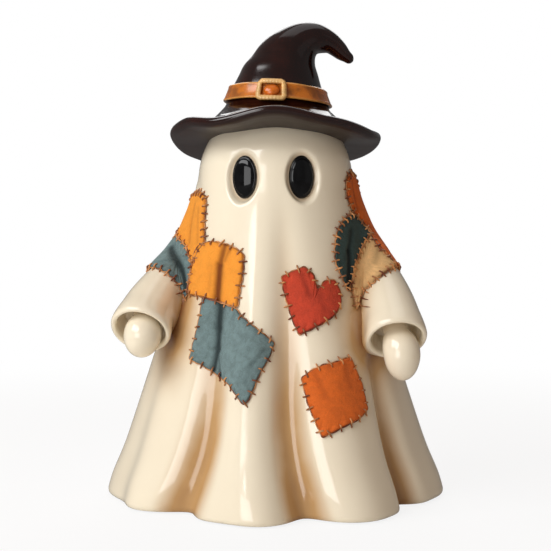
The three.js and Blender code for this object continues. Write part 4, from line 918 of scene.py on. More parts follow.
def cream_glaze(settings):
    """Cream glaze with a painted shade, a brown multiplied in where its mask is high. Above 0.95 the mask
    darkens it a second time with a deeper brown, a painted shadow as in the gap under a sleeve."""
    material, tree, shader = new_material("Cream glaze")
    cream, brown = opaque(settings.cream), opaque(settings.wash)
    skin = use_group(tree, glaze_group(), Waviness=0.12, Cloud_Size=26.0)
    ragged_shade = math(tree, "MULTIPLY", mask(tree, "wash"), spread(tree, skin["Pool"], 0.0, 1.0, 0.86, 1.06))
    base = blend(tree, math(tree, "MULTIPLY", skin["Pool"], 0.05), cream, brown)
    # Painted shade: the brown multiplied in by the mask
    with_painted_shade = blend(tree, math(tree, "MINIMUM", ragged_shade, 1.0), base, brown, "MULTIPLY")
    # Painted shadow: a deeper brown where the mask passes 0.95, as under a sleeve
    gap = spread(tree, ragged_shade, 0.95, 2.0)
    with_painted_shade = blend(tree, gap, with_painted_shade, opaque([part**2.2 for part in settings.wash]), "MULTIPLY")
    feed(tree, shader, Base_Color=with_painted_shade, Roughness=spread(tree, skin["Speck"], 0.0, 1.0, 0.13, 0.2))
    feed(tree, shader, Normal=skin["Normal"], Coat_Weight=0.4, Coat_Roughness=0.04)
    return material


def dark_glaze(settings):
    """Chocolate glaze, clouded darker; underneath the brim duller, with a painted shade that makes it a
    little darker.
    """
    material, tree, shader = new_material("Chocolate glaze")
    skin = use_group(tree, glaze_group(), Waviness=0.25, Cloud_Size=45.0)
    base = blend(tree, skin["Pool"], opaque(settings.chocolate, 0.4), opaque(settings.chocolate))
    # Painted shade on the underside: 70 percent of the chocolate
    under = opaque(settings.chocolate, 0.7)
    feed(tree, shader, Base_Color=blend(tree, mask(tree, "under"), base, under))
    feed(tree, shader, Roughness=spread(tree, mask(tree, "under"), 0.0, 1.0, 0.12, 0.4))
    feed(tree, shader, Normal=skin["Normal"], IOR=1.6)
    return material


def warm_glaze(name, shade, edge, depth):
    """Caramel or honey glaze, deeper coloured in the low places, paler on worn edges."""
    material, tree, shader = new_material(name)
    skin = use_group(tree, glaze_group(), Waviness=0.3, Cloud_Size=140.0)
    base = blend(tree, skin["Pool"], opaque(shade), opaque(shade, depth))
    feed(tree, shader, Base_Color=blend(tree, mask(tree, "edge"), base, opaque(edge)))
    feed(tree, shader, Roughness=spread(tree, skin["Pool"], 0.0, 1.0, 0.24, 0.36))
    feed(tree, shader, Normal=skin["Normal"], Coat_Weight=0.3, Coat_Roughness=0.1)
    return material


def eye_enamel(settings):
    """Black enamel under a clear gloss."""
    material, tree, shader = new_material("Eye enamel")
    skin = use_group(tree, glaze_group(), Waviness=0.02, Cloud_Size=200.0)
    black, grey = opaque(settings.enamel), opaque(settings.enamel, 2.2)
    feed(tree, shader, Base_Color=blend(tree, skin["Pool"], black, grey))
    feed(tree, shader, Roughness=spread(tree, skin["Speck"], 0.0, 1.0, 0.05, 0.09))
    feed(tree, shader, Normal=skin["Normal"], IOR=1.42)
    return material


def felt_material(name, shade, mottle, dark, fuzz):
    """Felt: the colour mottled towards a darker and a paler tone, a painted shade, deeper and redder, in
    creases, along the edge and underneath, and a bump of fibres."""
    material, tree, shader = new_material(name)
    fibre = use_group(tree, fibre_group(), Fuzz=fuzz, Patch_Size=260.0)
    deep = opaque(shade, dark)
    pale = opaque([min(part * 1.25 + 0.02, 1) for part in shade])
    base = blend(tree, math(tree, "MULTIPLY", fibre["Mottle"], mottle), opaque(shade), deep)
    base = blend(tree, math(tree, "MULTIPLY", fibre["Fibre"], 0.5), base, pale)
    # crease mask: painted shade in the creases, along the edge and underneath
    crease_painted_shade = blend(tree, mask(tree, "crease"), base, opaque([0.22 * part**1.4 for part in shade]))
    feed(tree, shader, Base_Color=crease_painted_shade, Roughness=0.92, Normal=fibre["Normal"])
    feed(tree, shader, Sheen_Weight=0.35, Sheen_Roughness=0.5)
    shader.inputs["Sheen Tint"].default_value = opaque([min(part * 1.6 + 0.1, 1) for part in shade])
    return material


def thread_material(shade):
    """Waxed thread, twisted, with a painted copper highlight mixed in by a noise."""
    material, tree, shader = new_material("Waxed thread")
    where = here(tree)
    strand = node(
        tree,
        "ShaderNodeTexWave",
        {"Vector": where, "Scale": 420.0, "Distortion": 3.0, "Detail": 2.0},
        wave_type="BANDS",
        bands_direction="DIAGONAL",
    ).outputs["Fac"]
    # Painted highlight: a copper tone mixed in by a noise
    painted_copper_highlight = opaque(linear(214, 150, 92))
    tone = noise(tree, where, 160.0, 2.0)
    base = blend(tree, spread(tree, tone, 0.35, 0.65), opaque(shade), painted_copper_highlight)
    bump = node(tree, "ShaderNodeBump", {"Strength": 0.6, "Distance": 0.15 * MM, "Height": strand}).outputs[0]
    feed(tree, shader, Base_Color=base, Roughness=spread(tree, strand, 0.0, 1.0, 0.5, 0.34), Normal=bump)
    return material


def plain_material(name, shade, roughness, grain=0.25, scale=900.0, metallic=0.0):
    """Moulded plastic, rubber or metal for a CAD node, with grain, smudges and a little colour
    variation."""
    material, tree, shader = new_material(name)
    skin = use_group(tree, grain_group(), Grain=grain, Scale=scale)
    smudged = blend(tree, skin["Smudge"], opaque(shade), opaque(shade, 0.75))
    feed(tree, shader, Base_Color=smudged, Normal=skin["Normal"])
    feed(tree, shader, Roughness=spread(tree, skin["Smudge"], 0.0, 1.0, roughness, roughness * 1.25))
    feed(tree, shader, Metallic=metallic)
    return material


# Pieces


def eye_frames():
    """For each eye, its centre on the face, the direction across it and the direction out of the face."""
    frames = {}
    for side in SLEEVES:
        low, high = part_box(f"{side}_eye")
        x, y, level = np.array((low + high) / 2)
        angle = np.degrees(np.arctan2(x, -y))
        centre = around(angle, robe_radius(angle, level), level)
        frames[side] = (centre, around(angle + 90, 1.0, 0.0), around(angle, 1.0, 0.0))
    return frames


def eye_place(points, centre, across, out):
    """How far points lie out of the face at an eye, and their distance from its oval edge:
    reach * (1 - 1 / oval), where oval is 1 on the edge."""
    offset = points - centre
    u, v = offset @ across, offset[..., 2]
    oval = np.hypot(u / (EYE_WIDTH / 2), v / (EYE_HEIGHT / 2))
    return offset @ out, np.hypot(u, v) * (1 - 1 / np.maximum(oval, 1e-6))


def sink_sockets(points):
    """Presses a rounded socket round each eye: a point moves towards the plane of the socket's floor by a
    share that eases in over the rim's width. Returns the points and a mask of that share."""
    depth = np.zeros(points.shape[:-1])
    for centre, across, out in eye_frames().values():
        rise, edge = eye_place(points, centre, across, out)
        share = ease((SOCKET_RIM - edge) / (SOCKET_RIM - 0.2 * MM)) * (rise > -SOCKET_REACH)
        points = points - out * (share * (rise + SOCKET_DEPTH))[..., None]
        depth = np.maximum(depth, share)
    return points, depth


def face_levels():
    """Heights of the face's rows, packed closer towards the head's centre: the spacing is 1 / (1 + bell)."""
    fine = np.linspace(FACE_START, HEAD_HEIGHT, 2000)
    density = 1 + bell((fine - HEAD_HEIGHT) / FACE_CROWDING)
    total = np.concatenate([[0], np.cumsum((density[1:] + density[:-1]) / 2)])
    return np.interp(np.linspace(0, total[-1], ROBE_ROWS), total, fine)


def joint_painted_shade(points, near, full, reach):
    """Painted shade beside the joint of sleeve and robe: full * exp(-near / reach), none at the shoulders and
    rising to all of it at the armpits, where the shade is deepest."""
    low = ease((SHOULDER_LEVEL - points[..., 2]) / (SHOULDER_LEVEL - ARMPIT_LEVEL))
    return full * low * np.exp(-near / reach)


def robe_rings(angles, levels, wall=0.0):
    """Rings of the robe's face at levels, or inside it by a wall."""
    return [around(angles, robe_radius(angles, level) - wall, level) for level in levels]


def dome_rings(angles, turns, radius):
    """Rings of the head's dome, a part of a sphere, at turns in degrees above its centre."""
    return [around(angles, radius * np.cos(t), HEAD_HEIGHT + radius * np.sin(t)) for t in radians(turns)]


def hem_rings(angles):
    """Rings round the hem's edge: the inset falls with a sine and the level rises with a cosine."""
    rings = []
    for turn in radians(np.linspace(0, 90, HEM_ROWS)):
        level = HEM_LIFT + (HEM_TOP - HEM_LIFT) * (1 - np.cos(turn))
        rings += robe_rings(angles, [level], HEM_ROUND * (1 - np.sin(turn)))
    return rings


def build_robe(settings):
    """The robe from the top of its hollow down the inside, round the hem and up the outside to the crown of
    the head, as one closed grid. Its columns are crowded at the front by a sine of their share of the turn.
    Painted shade, a brown, lies in the folds, in the sockets and near the sleeves, where shade falls."""
    share = np.linspace(-1, 1, ROBE_COLUMNS, endpoint=False)
    angles = 180 * (share - FRONT_CROWDING * np.sin(np.pi * share) / np.pi)
    hollow = dome_rings(angles, np.linspace(88, 2, HOLLOW_DOME_ROWS), HEAD_RADIUS - ROBE_WALL)
    hollow += robe_rings(angles, np.linspace(HEAD_HEIGHT, LEDGE, HOLLOW_ROWS), ROBE_WALL)
    hollow += robe_rings(angles, (LEDGE, RIM_END), RIM_WALL)
    face = hem_rings(angles) + robe_rings(angles, face_levels())
    face += dome_rings(angles, np.linspace(0.8, 89, DOME_ROWS), HEAD_RADIUS)
    rows = np.array(hollow + face)
    inside = len(hollow)
    near = np.maximum(sleeves_distance(rows[inside:]), 0)
    outside = fill_crease(rows[inside:], grid_normals(rows)[inside:], sleeves_distance, settings.crease)
    outside, socket = sink_sockets(outside)
    rows = np.concatenate([rows[:inside], outside])
    depth = fold_depth(angles[None, :], np.clip(rows[..., 2], 0, HEAD_HEIGHT))
    # Painted shade: brown in the fold valleys, the eye sockets and beside the sleeves
    wash = sum(share * ease(-depth / full) for share, full in FOLD_PAINTED_SHADE)
    wash[inside:] += SOCKET_PAINTED_SHADE * ease(socket * 1.3 - 0.3)
    wash[inside:] += joint_painted_shade(outside, near, *ARMPIT_PAINTED_SHADE)
    robe = closed_piece("glazed_robe", rows, cream_glaze(settings), {"wash": np.clip(wash, 0, FULL_PAINTED_SHADE)})
    dress(robe, "cream_glaze", "robe_shell")


def ring_rows(centres, ways, radii, sides=SLEEVE_COLUMNS):
    """Rings (rows, sides, 3) round centres, square to the ways: across is Y x way, over is way x across."""
    across = unit(np.cross((0, 1, 0), ways))
    over = np.cross(ways, across)
    turn = circle(sides)[:, None]
    ring = np.cos(turn) * across[:, None] + np.sin(turn) * over[:, None]
    return centres[:, None] + ring * np.asarray(radii)[:, None, None]


def mouth_rings(side, along, radii):
    """Rings at distances from the middle of a cuff's mouth, along the sleeve's last direction."""
    way = sleeve_way(side, 1.0)
    return ring_rows(SLEEVES[side][3] + along[:, None] * way, np.tile(way, (len(along), 1)), radii)


def build_sleeve(side, material, settings):
    """Bell sleeve: rings along the centreline, a rolled rim as half a circle, then the blind cuff inside.
    A painted shade darkens it near the robe, and more lightly inside the cuff."""
    shares = np.linspace(SLEEVE_START, 1, SLEEVE_ROWS)
    radii = sleeve_radius(shares) + CUFF_ROLL * ease((shares - 0.88) / 0.12)
    body = ring_rows(sleeve_middle(side, shares), sleeve_way(side, shares), radii)
    turns = np.linspace(0, np.pi, CUFF_RIM_ROWS)[1:]
    half = CUFF_WALL / 2
    lip = SLEEVE_CUFF_RADIUS + CUFF_ROLL
    rim = mouth_rings(side, CUFF_BULGE * np.sin(turns), lip - half + half * np.cos(turns))
    depth = np.linspace(0.1, 1, CUFF_ROWS) * CUFF_DEPTH
    tight = lip - CUFF_WALL - CUFF_DRAFT * ease(depth / CUFF_DEPTH)
    cuff = mouth_rings(side, -depth, tight)
    floor = mouth_rings(side, np.full(3, -CUFF_DEPTH), tight[-1] * np.array([0.8, 0.5, 0.2]))
    outer = np.concatenate([body, rim[:4]])
    normals = grid_normals(np.concatenate([body, rim]))[: len(outer)]
    middle = sleeve_middle(side, np.linspace(SLEEVE_START, 1, len(outer)))[:, None]
    outwards = np.sign(np.einsum("rsk,rsk->rs", normals, outer - middle))
    outer = fill_crease(outer, normals * outwards[..., None], robe_distance, settings.crease)
    rows = np.concatenate([outer, rim[4:], cuff, floor])
    # Painted shade beside the robe and inside the cuff's recess
    wash = np.zeros(rows.shape[:2])
    near = np.maximum(robe_distance(outer), 0)
    wash[: len(outer)] = joint_painted_shade(outer, near, *SLEEVE_PAINTED_SHADE)
    wash[len(body) + len(rim) :] = CUFF_PAINTED_SHADE
    piece = closed_piece(f"glazed_{side}_sleeve", rows, material, {"wash": wash})
    dress(piece, "cream_glaze", f"{side}_sleeve")


def build_hand(side, material):
    """Egg-shaped hand on a neck: rings along a bent axis from the cuff's floor to the tip, closer together
    towards the tip. The radius is that of an ellipse, sqrt(1 - below ** 2), and at least the neck's above
    it."""
    offset, lean, radius, long = HANDS[side]
    heart = SLEEVES[side][3] + offset
    seat = SLEEVES[side][3] - (CUFF_DEPTH - HAND_SEAT) * sleeve_way(side, 1.0)
    down = unit(lean)
    tip = heart + down * long / 2
    line = spline(np.array([seat, (seat + heart) / 2, heart, (heart + tip) / 2, tip]), 400)
    reach = reach_along(line)
    centre = at_reach(line, reach, np.sin(np.linspace(0.0, np.pi / 2, HAND_ROWS)) * reach[-1])
    ways = np.gradient(centre, axis=0)
    ways[-1] = down
    below = (centre - heart) @ down / (long / 2)
    nub = radius * np.sqrt(np.clip(1 - below**2, 0.0004, 1))
    radii = np.where(below > 0, nub, np.maximum(nub, HAND_NECK))
    rows = ring_rows(centre, unit(ways), radii, HAND_COLUMNS)
    # Painted shade on the neck and the top of the hand, inside the cuff
    wash = spread_over(rows, HAND_PAINTED_SHADE * np.clip(-below, 0, 1))
    piece = closed_piece(f"glazed_{side}_hand", rows, material, {"wash": wash})
    dress(piece, "cream_glaze", f"{side}_hand")


def build_eye(side, material):
    """Oval cabochon: a flat back, a straight edge, a fine groove and a quarter-ellipse dome."""
    centre, across, out = eye_frames()[side]
    turn = np.linspace(0, np.pi / 2, EYE_ROWS)
    size = np.concatenate([[0.2, 0.98, 1.0, 1.0], np.cos(turn)[:-1], [0.01]])
    rise = np.concatenate([[0, 0, 0.1 * MM, EYE_EDGE], EYE_EDGE + (EYE_DEPTH - EYE_EDGE) * np.sin(turn)])
    rise = rise - EYE_GROOVE * bell((size - 0.86) / 0.022)
    ring = circle(EYE_COLUMNS)
    u = size[:, None] * np.cos(ring) * EYE_WIDTH / 2
    v = size[:, None] * np.sin(ring) * EYE_HEIGHT / 2
    back = centre - out * (EYE_SINK + EYE_DEPTH)
    rows = back + u[..., None] * across + v[..., None] * np.array((0, 0, 1)) + rise[:, None, None] * out
    piece = closed_piece(f"enamel_{side}_eye", rows, material)
    dress(piece, "eye_glaze", f"{side}_eye")


def brim_wave(angle):
    """Height of the rim at an angle: cosine steps through the heights of BRIM_WAVE."""
    count = len(BRIM_WAVE)
    place = (np.asarray(angle) % 360) * count / 360
    i = place.astype(int)
    part = (1 - np.cos(np.pi * (place - i))) / 2
    return BRIM_WAVE[i % count] * (1 - part) + BRIM_WAVE[(i + 1) % count] * part


def hat_rings(angles):
    """The hat's knot rings: the brim's, tipped back and waved, then the crown's, square to the bent spine,
    and those that close its tip."""
    sine, cosine = np.sin(radians(angles)), np.cos(radians(angles))
    rings = []
    for inward, rise, tilt, wave in BRIM_PROFILE:
        radius = BRIM_RADIUS - inward * MM
        tipped = BRIM_TILT * tilt * radius * cosine
        rings.append(around(angles, radius, BRIM_LEVEL + rise * MM + tipped + wave * brim_wave(angles)))
    for (x, rise, radius), (*_, lean) in zip(CROWN_SPINE, CROWN_RINGS):
        side = radius * sine
        level = BRIM_LEVEL + rise - side * np.sin(radians(lean))
        rings.append(np.stack([x + side * np.cos(radians(lean)), -radius * cosine, level], axis=-1))
    x, rise, radius = CROWN_SPINE[-1]
    tip = np.array((x + radius * 0.9, 0, BRIM_LEVEL + rise - radius * 0.7))
    last, middle = rings[-1], rings[-1].mean(axis=0)
    for along, size in CROWN_TIP:
        rings.append(middle + (tip - middle) * along + (last - middle) * size)
    return np.array(rings)


def build_hat(settings):
    """Brim and bent crown in one closed grid, smooth through the knot rings."""
    angles = np.linspace(-180, 180, HAT_COLUMNS, endpoint=False)
    rows = spline(hat_rings(angles), HAT_ROWS)
    # under: the downward faces low on the hat, which take the painted shade and the duller gloss
    under = ease(-grid_normals(rows)[..., 2] * 2) * (rows[..., 2] < BRIM_LEVEL + 20 * MM)
    hat = closed_piece("glazed_hat", rows, dark_glaze(settings), {"under": under})
    dress(hat, "hat_glaze", "witch_hat")


def crown_ring(level):
    """The middle of the straight part of the crown at a level, and its radius there."""
    levels = BRIM_LEVEL + CROWN_STRAIGHT[:, 1]
    return np.interp(level, levels, CROWN_STRAIGHT[:, 0]), np.interp(level, levels, CROWN_STRAIGHT[:, 2])


def crown_point(angle, level, out):
    """A point on the straight part of the crown, out from its face. Its level leans with the band."""
    level = level - BAND_LEAN * np.sin(radians(angle))
    x, radius = crown_ring(level)
    point = around(angle, radius + out, level)
    point[..., 0] += x
    return point


def squared(value, power):
    """A sine or cosine with its size raised to a power, which squares a circle off where it is below 1."""
    return np.sign(value) * np.abs(value) ** power


def build_band(settings):
    """Band: a rounded rectangle carried round the crown, its edges a little raised and its height uneven,
    by two slow sines of the angle."""
    angles = np.linspace(-180, 180, BAND_COLUMNS, endpoint=False)
    turn = circle(BAND_SIDES)
    up = squared(np.sin(turn), 0.3)
    out = squared(np.cos(turn), 0.45)
    lip = 0.35 * MM * bell((np.abs(up) - 0.82) / 0.14) * (out > 0)
    uneven = 0.18 * MM * np.sin(radians(angles * 3 + 40)) + 0.12 * MM * np.sin(radians(angles * 7))
    level = BAND_MIDDLE + up[:, None] * BAND_HEIGHT / 2 + uneven
    stand = BAND_GAP + BAND_THICKNESS / 2 * (1 + out) + lip
    rows = crown_point(angles[None, :], level, stand[:, None])
    worn = 0.8 * ease((np.abs(up) - 0.7) / 0.25) * (out > 0.2)
    caramel = warm_glaze("Caramel glaze", settings.caramel, linear(244, 178, 92), 0.45)
    band = closed_piece("glazed_band", rows, caramel, {"edge": spread_over(rows, worn)}, ring=True)
    dress(band, "band_glaze", "hat_band")


def buckle_point(across, up, out):
    """A point of the buckle: across and up on the band's face, out from it."""
    radius = crown_ring(BAND_MIDDLE)[1]
    stand = 2 * BAND_GAP + BAND_THICKNESS + out
    angle = BUCKLE_ANGLE + np.degrees(across / (radius + stand))
    return crown_point(angle, BAND_MIDDLE + up, stand)


def rounded_rectangle(width, height, corner, count):
    """Points round a rounded rectangle, spaced evenly, and their outward directions."""
    cosine, sine = np.cos(circle(4 * count)), np.sin(circle(4 * count))
    x = np.sign(cosine) * (width / 2 - corner) + corner * cosine
    y = np.sign(sine) * (height / 2 - corner) + corner * sine
    closed = np.stack([np.append(x, x[0]), np.append(y, y[0])], axis=-1)
    reach = reach_along(closed)
    points = at_reach(closed, reach, np.linspace(0, reach[-1], 2 * count, endpoint=False))
    return points, unit(-quarter_turn(closed_slopes(points)))


def build_buckle(settings):
    """Buckle frame: a beaded bar, round in section, carried round a rounded rectangle."""
    half = BUCKLE_BAR / 2
    width, height, corner = BUCKLE_WIDTH - BUCKLE_BAR, BUCKLE_HEIGHT - BUCKLE_BAR, BUCKLE_CORNER - half * 0.6
    points, outward = rounded_rectangle(width, height, corner, BUCKLE_CORNER_POINTS)
    turn = circle(BUCKLE_SIDES)
    bead = 1 + 0.05 * np.sin(BUCKLE_BEADS * circle(len(points)))
    flat = points + half * np.cos(turn)[:, None, None] * outward * bead[:, None]
    rise = half + half * 1.05 * np.sin(turn)[:, None] * bead
    rows = buckle_point(flat[..., 0], flat[..., 1], np.maximum(rise, 0))
    honey = warm_glaze("Honey glaze", settings.honey, linear(252, 214, 150), 0.5)
    worn = 0.5 * ease(np.sin(turn))
    buckle = closed_piece("glazed_buckle", rows, honey, {"edge": spread_over(rows, worn)}, ring=True)
    dress(buckle, "band_glaze", "buckle_frame")


def build_stud():
    """The buckle's stud: an oval dome, a quarter of an ellipse turned round, on a short foot."""
    turns = np.concatenate([[0.0], np.linspace(0, np.pi / 2, STUD_ROWS)])
    size = np.cos(turns) * STUD_RADIUS
    size[0], size[-1] = STUD_RADIUS * 0.6, STUD_RADIUS * 0.02
    rise = np.sin(turns) * STUD_HEIGHT
    ring = circle(STUD_COLUMNS)
    across = STUD_STRETCH * size[:, None] * np.cos(ring)
    rows = buckle_point(across, size[:, None] * np.sin(ring), rise[:, None] * np.ones(STUD_COLUMNS))
    amber = warm_glaze("Amber stud glaze", linear(216, 112, 30), linear(246, 180, 80), 0.6)
    stud = closed_piece("glazed_stud", rows, amber, {"edge": np.zeros(rows.shape[:2])})
    dress(stud, "band_glaze", "buckle_stud")


# Felt and stitches


def fan_middle(side, height):
    """The point at a height that a wrapped patch fans out from, as x and y: on the sleeve's centreline,
    drawn in towards the axis."""
    line = sleeve_middle(side, np.linspace(0, 1, 121))
    middle = np.stack([np.interp(-height, -line[:, 2], line[:, axis]) for axis in (0, 1)], axis=-1)
    return middle * (1 - FAN_SHARE)


def press(places, patch, width):
    """Where places of an outline land on the body, and its normals there. A line runs in along the patch's
    facing, or in towards a sleeve's centreline, and steps by most of the distance that is left."""
    across, height = places[..., 0] * MM, HEAD_HEIGHT - places[..., 1] * MM
    if "round" in patch:
        turn = across / GIRTH_RADIUS
        start = np.concatenate([fan_middle(patch["round"], height), height[..., None]], axis=-1)
        reach = 0
    else:
        turn = np.full(across.shape, radians(patch["facing"]))
        start = np.stack([across * np.cos(turn), across * np.sin(turn), height], axis=-1)
        reach = PRESS_START
    out = np.stack([np.sin(turn), -np.cos(turn), np.zeros(turn.shape)], axis=-1)
    points = start + out * reach
    for _ in range(PRESS_ROUNDS):
        points = points - out * (body_distance(points, width) * PRESS_SHARE)[..., None]
    return points, body_normal(points, width)


def place_on(points, patch):
    """The outline's own coordinates of points on the body, the other way round."""
    below = (HEAD_HEIGHT - points[..., 2]) / MM
    if "round" in patch:
        offset = points[..., :2] - fan_middle(patch["round"], points[..., 2])
        return np.stack([np.arctan2(offset[..., 0], -offset[..., 1]) * GIRTH_RADIUS / MM, below], axis=-1)
    turn = radians(patch["facing"])
    across = points[..., 0] * np.cos(turn) + points[..., 1] * np.sin(turn)
    return np.stack([across / MM, below], axis=-1)


def covers(patch, points):
    """Whether points on the body lie under a patch: they are on its side, and inside its outline by an
    even-odd test."""
    place = place_on(points, patch)
    corners = np.array(patch["outline"], float)
    inside = np.zeros(place.shape[:-1], bool)
    for (x1, y1), (x2, y2) in zip(corners, np.roll(corners, -1, axis=0)):
        crosses = (y1 > place[..., 1]) != (y2 > place[..., 1])
        run = (place[..., 1] - y1) / (y2 - y1 if y2 != y1 else 1)
        inside ^= crosses & (place[..., 0] < x1 + run * (x2 - x1))
    if "round" in patch:
        middle = fan_middle(patch["round"], points[..., 2])
        return inside & (np.linalg.norm(points[..., :2] - middle, axis=-1) < GIRTH_LIMIT)
    turn = radians(patch["facing"])
    return inside & (points[..., 0] * np.sin(turn) - points[..., 1] * np.cos(turn) > 0)


def covered(points, names):
    """Whether points on the body lie under any of the named patches, as 0 or 1."""
    under = np.zeros(points.shape[:-1], bool)
    for name in names:
        under |= covers(PATCHES[name], points)
    return under.astype(float)


def edge_line(patch):
    """An outline at even steps with its corners rounded by a short running mean, the inward directions and
    its area."""
    corners = np.array(patch["outline"] + patch["outline"][:1], float)
    reach = reach_along(corners)
    line = at_reach(corners, reach, np.linspace(0, reach[-1], int(reach[-1] / EDGE_STEP), endpoint=False))
    for _ in range(2):
        line = (np.roll(line, 1, axis=0) + line + np.roll(line, -1, axis=0)) / 3
    inward = unit(quarter_turn(closed_slopes(line)))
    area = np.sum(line[:, 0] * np.roll(line[:, 1], -1) - line[:, 1] * np.roll(line[:, 0], -1)) / 2
    return line, inward * np.sign(area), abs(area)


def tick_places(line, patch, settings, width):
    """Places of the stitches, evenly apart along the edge as it lies on the body, as fractions of its
    points."""
    edge, _ = press(np.vstack([line, line[:1]]), patch, width)
    reach = reach_along(edge)
    count = max(3, int(round(reach[-1] / settings.pitch / patch.get("pitch", 1))))
    return np.interp((np.arange(count) + 0.5) / count * reach[-1], reach, np.arange(len(reach)))


def square_step(start, way_in, patch, width):
    """For places on an outline, the step in the patch's own coordinates that runs one millimetre inwards
    over the body, square to the edge. It solves J v = d by least squares: J holds the body's two slopes at
    the place, and d is the direction wanted, the cross product of the normal and the edge."""
    base, normal = press(start, patch, width)
    moved = [press(start + step, patch, width)[0] - base for step in SLOPE_STEP * np.eye(2)]
    slope = np.stack(moved, axis=-1) / (SLOPE_STEP * MM)
    wanted = unit(np.cross(normal, np.einsum("nij,nj->ni", slope, quarter_turn(way_in))))
    inwards = np.einsum("nij,nj->ni", slope, way_in)
    wanted *= np.sign(np.sum(wanted * inwards, axis=-1, keepdims=True))
    move = np.einsum("nij,nj->ni", np.linalg.pinv(slope), wanted)
    return move * np.minimum(1, LONGEST_STEP / np.linalg.norm(move, axis=-1, keepdims=True))


def fold_creases(patch, places, top):
    """The felt's height with the patch's creases pressed in, and a mask of how sharp they are. Each is a bell
    across its line."""
    sharp = np.zeros(top.shape)
    for start, end, deep, wide in patch["creases"]:
        a, run = np.array(start), np.array(end) - np.array(start)
        share = np.clip(((places - a) @ run) / (run @ run), 0, 1)
        fold = bell(np.linalg.norm(places - a - share[..., None] * run, axis=-1) / wide)
        top = top - deep * MM * fold
        sharp = np.maximum(sharp, fold * min(deep / CREASE_FULL, 1))
    return top, sharp


def felt_height(base, inset, apart, thickness):
    """Height of the felt's face over its underside: a quarter circle at the edge, 30 percent lower at a
    stitch, and a slow unevenness of two crossed sines further in."""
    pinch = bell(apart * EDGE_STEP / PINCH_WIDTH) * bell((inset - PINCH_INSET) / PINCH_REACH)
    edge = np.sqrt(np.clip(1 - (1 - np.clip(inset / FELT_ROUND, 0, 1)) ** 2, 0, 1))
    x, z = base[..., 0], base[..., 2]
    soft = np.sin(x * 310 + z * 170) * np.sin(z * 260 - x * 120)
    return thickness * edge * (1 - 0.3 * pinch) + FELT_SOFT * soft * ease(inset / (3 * MM))


def build_patch(name, patch, settings, crease_width, material, thread):
    """Felt as a polar grid over the outline, pressed on to the body, and its stitches. The underside
    follows the glaze."""
    line, inward, flat_area = edge_line(patch)
    ticks = tick_places(line, patch, settings, crease_width)
    shares = 1 - np.linspace(1, 0, FELT_ROWS) ** 1.8
    shares[0] = 0.02
    spokes = line - np.array(patch["centre"], float)
    places = patch["centre"] + spokes * shares[:, None, None]
    base, normal = press(places, patch, crease_width)
    inset = (1 - shares)[:, None] * np.abs(np.sum(spokes * inward, axis=-1)) * MM
    count = len(line)
    apart = np.abs((np.arange(count)[:, None] - ticks + count / 2) % count - count / 2).min(axis=1)
    top, sharp = fold_creases(patch, places, felt_height(base, inset, apart, settings.thickness))
    upper = base + normal * (settings.lift + np.maximum(top, FELT_LEAST))[..., None]
    lower = base + normal * settings.lift
    # Painted shade: darker along the felt's edge, in its creases and on its underside
    rim = 0.5 * np.exp(-inset / EDGE_SHADE)
    shade = np.concatenate([np.clip(sharp * 1.1 + rim, 0, 1), np.full(top.shape, UNDER_SHADE)])
    felt = closed_piece(f"felt_{name}", np.concatenate([upper, lower[::-1]]), material, {"crease": shade})
    dress(felt, patch["felt"], f"{name}_patch")
    edge = (line, inward, ticks)
    stitches = [
        build_stitches(name, patch, edge, settings, crease_width, thread),
        build_edge_thread(name, patch, edge, settings, crease_width, thread),
    ]


def between(values, at):
    """Values of a closed line at fractions of its points."""
    low = np.floor(at).astype(int) % len(values)
    part = (at - np.floor(at))[..., None]
    return values[low] * (1 - part) + values[(low + 1) % len(values)] * part


def build_stitches(name, patch, edge, settings, crease_width, thread):
    """The short threads of the blanket stitch, across the edge and square to it but for a small slant. They
    rise over the felt and dive at both ends. Where an earlier patch adjoins, its own stitches hold the
    seam."""
    names = list(PATCHES)
    rng = np.random.default_rng(len(name) * 7 + int(abs(patch["centre"][0])))
    line, inward, ticks = edge
    start, way_in = between(line, ticks), unit(between(inward, ticks))
    beside, _ = press(start - way_in * BESIDE, patch, crease_width)
    free = covered(beside, names[: names.index(name)]) == 0
    start, way_in = start[free], way_in[free]
    slant = rng.uniform(-STITCH_SLANT, STITCH_SLANT, len(start))
    way = square_step(start, way_in, patch, crease_width)
    way = way + slant[:, None] * quarter_turn(way)
    reach = settings.stitch / MM / 2 * rng.uniform(*STITCH_SPREAD, len(start))
    share = np.linspace(-1, 1, STITCH_ROWS)
    places = start[:, None] + way[:, None] * (share[None, :] * reach[:, None])[..., None]
    base, normal = press(places, patch, crease_width)
    over = np.maximum(share > STITCH_RISE, covered(base, [other for other in names if other != name]))
    over = np.stack([over[:, max(i - 1, 0) : i + 2].mean(axis=1) for i in range(len(share))], axis=1)
    dive = np.clip((np.abs(share) - STITCH_DIVE) / (1 - STITCH_DIVE), 0, 1) ** 2
    height = settings.lift + over * settings.thickness * 0.92 + settings.yarn * (0.75 - 1.9 * dive)
    paths = base + normal * height[..., None]
    stitches = capsules(f"stitches_{name}", paths, normal, settings.yarn, thread)
    dress(stitches, patch["felt"])
    return stitches


